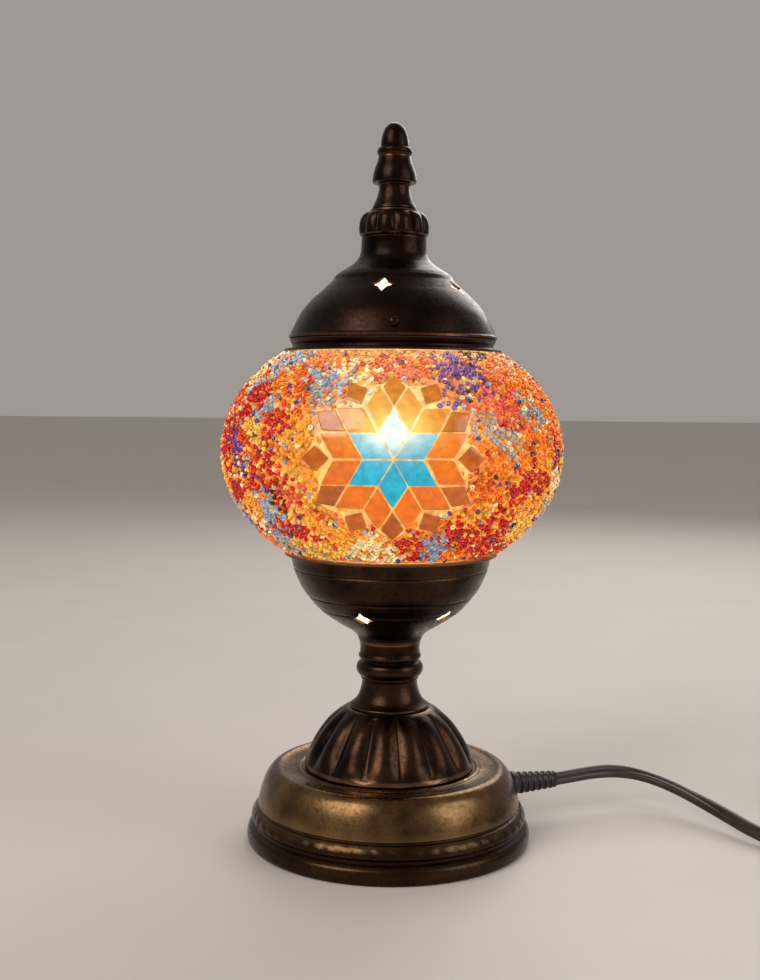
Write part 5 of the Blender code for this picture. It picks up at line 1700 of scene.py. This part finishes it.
@dataclass
class Switch:
    """The in-line switch: a lower and an upper moulding and a rocker key."""

    waist: float = 0.34
    window_room: tuple[float, float] = (2.4 * MM, 0.8 * MM)

    def moulding(self, name: str, node: str, edge: float, cuts: int) -> Mesh:
        """One half of the housing, narrower towards its ends."""
        low, high = (np.array(corner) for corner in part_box(node))
        half = slab(name, tuple(high - low), cuts, edge)
        spots = corners(half)
        share = np.abs(spots[:, 0]) / ((high[0] - low[0]) / 2)
        spots[:, 1] *= 1 - self.waist * np.clip(share - 0.35, 0, 1) ** 2 / 0.42
        push(half, spots)
        lay(half, Matrix.Identity(3), Vector((low + high) / 2))
        return settle(half, name)

    def build(self) -> list[Mesh | str]:
        """Makes the switch and gives back its pieces."""
        lower = self.moulding("switch_tray", "switch_lower_shell", 1.4 * MM, 9)
        upper = self.moulding("switch_cover", "switch_upper_shell", 1.6 * MM, 9)
        low, high = (np.array(corner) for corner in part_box("switch_rocker"))
        room, side = self.window_room
        window = slab("window", (high[0] - low[0] + room, high[1] - low[1] + side, 16 * MM), 1, 0.0)
        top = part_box("switch_upper_shell")[1][2]
        lay(window, Matrix.Identity(3), Vector(((low[0] + high[0]) / 2, (low[1] + high[1]) / 2, top)))
        carve(upper, window)
        soften(upper, 0.2 * MM, 2, 50)
        hand_over(lower, Body.ROOT, SWITCH_PLASTIC, ["switch_lower_shell"])
        hand_over(upper, Body.ROOT, SWITCH_PLASTIC, ["switch_upper_shell"])
        key = node_mesh("switch_rocker").copy()
        key.data = key.data.copy()
        key.data.materials.clear()
        bpy.context.scene.collection.objects.link(key)
        for mark in [name for name in key.keys() if name.startswith("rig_")]:
            del key[mark]
        pick(key)
        bpy.ops.object.mode_set(mode="EDIT")
        take_all()
        bpy.ops.mesh.remove_doubles(threshold=HAIR)
        bpy.ops.mesh.dissolve_limited(angle_limit=radians(3))
        leave_edit()
        settle(key, "rocker_key")
        soften(key, 0.45 * MM, 3, 20)
        settle(key, "rocker_key", 30)
        hand_over(key, Body.ROCKER, ROCKER_RED, ["switch_rocker"])
        return [lower, upper, key, "switch_contact"]


@dataclass
class Plug:
    """The flat two-pin plug with its boot."""

    towards: float = radians(94)
    head: tuple[float, float] = (0.2480, 0.0560)
    length: float = 35.0 * MM
    width: float = 26.0 * MM
    thickness: float = 14.0 * MM
    pin_radius: float = 2.0 * MM
    pin_length: float = 19.0 * MM
    pin_spacing: float = 18.6 * MM

    def build(self) -> list[Mesh]:
        """Makes the plug and gives back its pieces."""
        low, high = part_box("plug_body")
        level = (low[2] + high[2]) / 2
        ahead = Vector((cos(self.towards), sin(self.towards), 0))
        aside = Vector((-ahead.y, ahead.x, 0))
        turn = Matrix.Rotation(self.towards, 3, "Z")
        body = slab("plug_moulding", (self.length, self.width, self.thickness), 11, 3.2 * MM)
        spots = corners(body)
        back = 0.5 - spots[:, 0] / self.length
        grip = np.exp(-(((back - 0.55) / 0.24) ** 2))
        ridges = 0.35 * MM * np.maximum(0, np.sin(spots[:, 0] / self.length * 2 * pi * 9)) * grip
        spots[:, 1] *= (1 - 0.45 * back**2) * (1 - 0.07 * grip)
        spots[:, 1] += np.sign(spots[:, 1]) * ridges * (np.abs(spots[:, 1]) > 0.3 * self.width)
        spots[:, 2] *= 1 - 0.30 * back**2
        push(body, spots)
        head = Vector((*self.head, level))
        lay(body, turn, head + ahead * (self.length / 2 + 0.4 * MM))
        settle(body, "plug_moulding")
        made = [hand_over(body, Body.ROOT, SWITCH_PLASTIC, ["plug_body"])]

        outline = profile([(2.1, -13.0), (3.0, -13.0)], [(3.4, -9.0), (4.1, -4.0), (4.9, 0.2)], [(2.1, 0.2)])
        boot = lathe("plug_boot", outline, 48)
        spots = corners(boot)
        spots[:, 0] *= 0.82
        spots[:, 1] *= 1.06
        push(boot, spots)
        lay(boot, turn @ Matrix.Rotation(pi / 2, 3, "Y"), head + ahead * 0.2 * MM)
        settle(boot, "plug_boot")
        made.append(hand_over(boot, Body.ROOT, SWITCH_PLASTIC))
        for number, side in enumerate((-1, 1)):
            radius, length = self.pin_radius / MM, self.pin_length / MM
            nose = [(0.0, length), (radius * 0.55, length - 0.15), (radius * 0.9, length - 0.9)]
            outline = profile([*nose, (radius, length - 2.0)], [(radius, 0.0), (0.0, 0.0)])
            pin = lathe(f"plug_prong_{number + 1}", outline, 40, closed=False)
            start = head + ahead * (self.length + 0.4 * MM + GAP) + aside * side * self.pin_spacing / 2
            lay(pin, turn @ Matrix.Rotation(pi / 2, 3, "Y"), start)
            settle(pin, f"plug_prong_{number + 1}")
            made.append(hand_over(pin, Body.ROOT, BRASS, [f"plug_pin_{number + 1}"]))
        return made


# What stays from the frame, and the studio


KEPT_NODES: dict[Finish, tuple[str, ...]] = {
    ZINC: ("base_cover", "base_weight", "globe_seat_ring", "threaded_tube", "base_nut", "base_washer",
           "cup_nut", "cup_washer", "finial_stud", "finial_nut", "finial_washer", "bulb_filament"),
    BRASS: ("socket_sleeve", "socket_contact", "switch_contact", "bulb_contact"),
    BAKELITE: ("socket_foot", "socket_body", "bulb_insulator", "bulb_stem"),
    RUBBER: ("globe_gasket",),
    FLEX: ("inner_lead",),
}


def dress_kept_nodes() -> None:
    """Gives every node of the frame that still shows a finish of its own."""
    for finish, names in KEPT_NODES.items():
        for piece in map(node_mesh, names):
            if not piece.material_slots:
                piece.data.materials.append(finish.material())
            for slot in piece.material_slots:
                slot.material = finish.material()
        LOG.info("%s keep their shape in %s", ", ".join(names), finish.name)


@dataclass(frozen=True)
class SoftLight:
    """A round soft light that faces the middle of the lamp."""

    name: str
    spot: tuple[float, float, float]
    size: float
    power: float
    colour: Colour
    target: tuple[float, float, float] = (0, 0, 0.13)

    def build(self) -> None:
        """Sets the light up."""
        data = bpy.data.lights.new(self.name, "AREA")
        data.shape, data.size, data.energy, data.color = "DISK", self.size, self.power, self.colour
        light = placed(self.name, data)
        light.location = self.spot
        facing = (Vector(self.target) - Vector(self.spot)).to_track_quat("-Z", "Y")
        light.rotation_euler = facing.to_euler()


SOFT_LIGHTS = (
    SoftLight("key", (-0.75, -0.75, 0.95), 0.9, 9.0, (1.0, 0.95, 0.90)),
    SoftLight("fill", (0.95, -0.45, 0.55), 0.8, 3.5, (0.94, 0.96, 1.0)),
    SoftLight("back", (0.30, 0.85, 0.80), 0.9, 5.0, (1.0, 0.97, 0.92)),
)


@dataclass
class Studio:
    """The pale floor, the soft lights and the camera."""

    lens: float = 47.4
    eye: tuple[float, float, float] = (-0.0044, -0.4946, 0.1728)
    pitch: float = radians(4.3)
    roll: float = radians(0.53)
    surround: Colour = (0.62, 0.57, 0.53)
    surround_strength: float = 0.55

    def build(self) -> None:
        """Sets up the floor, the lights, the surroundings and the camera."""
        deselect()
        bpy.ops.mesh.primitive_plane_add(size=16, location=(0, 0, 0))
        floor = bpy.context.object
        floor.name = "floor"
        recipe = Recipe("pale floor")
        tone = recipe.mix(recipe.noise(14.0, 5.0), (0.60, 0.565, 0.53), (0.66, 0.625, 0.59))
        recipe.set(Base_Color=tone, Roughness=0.55)
        floor.data.materials.append(recipe.made)
        for light in SOFT_LIGHTS:
            light.build()
        world = bpy.data.worlds.new("studio")
        bpy.context.scene.world = world
        world.use_nodes = True
        surround = world.node_tree.nodes["Background"].inputs
        surround["Color"].default_value = (*self.surround, 1.0)
        surround["Strength"].default_value = self.surround_strength
        bpy.context.scene.view_settings.view_transform = "Standard"
        data = bpy.data.cameras.new("camera")
        data.lens, data.sensor_width, data.clip_start = self.lens, 36.0, 0.01
        camera = placed("camera", data)
        camera.matrix_world = (
            Matrix.Translation(self.eye)
            @ Matrix.Rotation(pi / 2 - self.pitch, 4, "X")
            @ Matrix.Rotation(self.roll, 4, "Z")
        )
        bpy.context.scene.camera = camera


def main() -> None:
    """Builds the studio, the cords and then the lamp from the table upwards."""
    logging.basicConfig(level=logging.INFO, format="%(message)s")
    Studio().build()
    Cord().build()
    Base().build()
    Stand().build()
    Globe().build()
    Cap().build()
    Bulb().build()
    dress_kept_nodes()


if __name__ == "__main__":
    main()
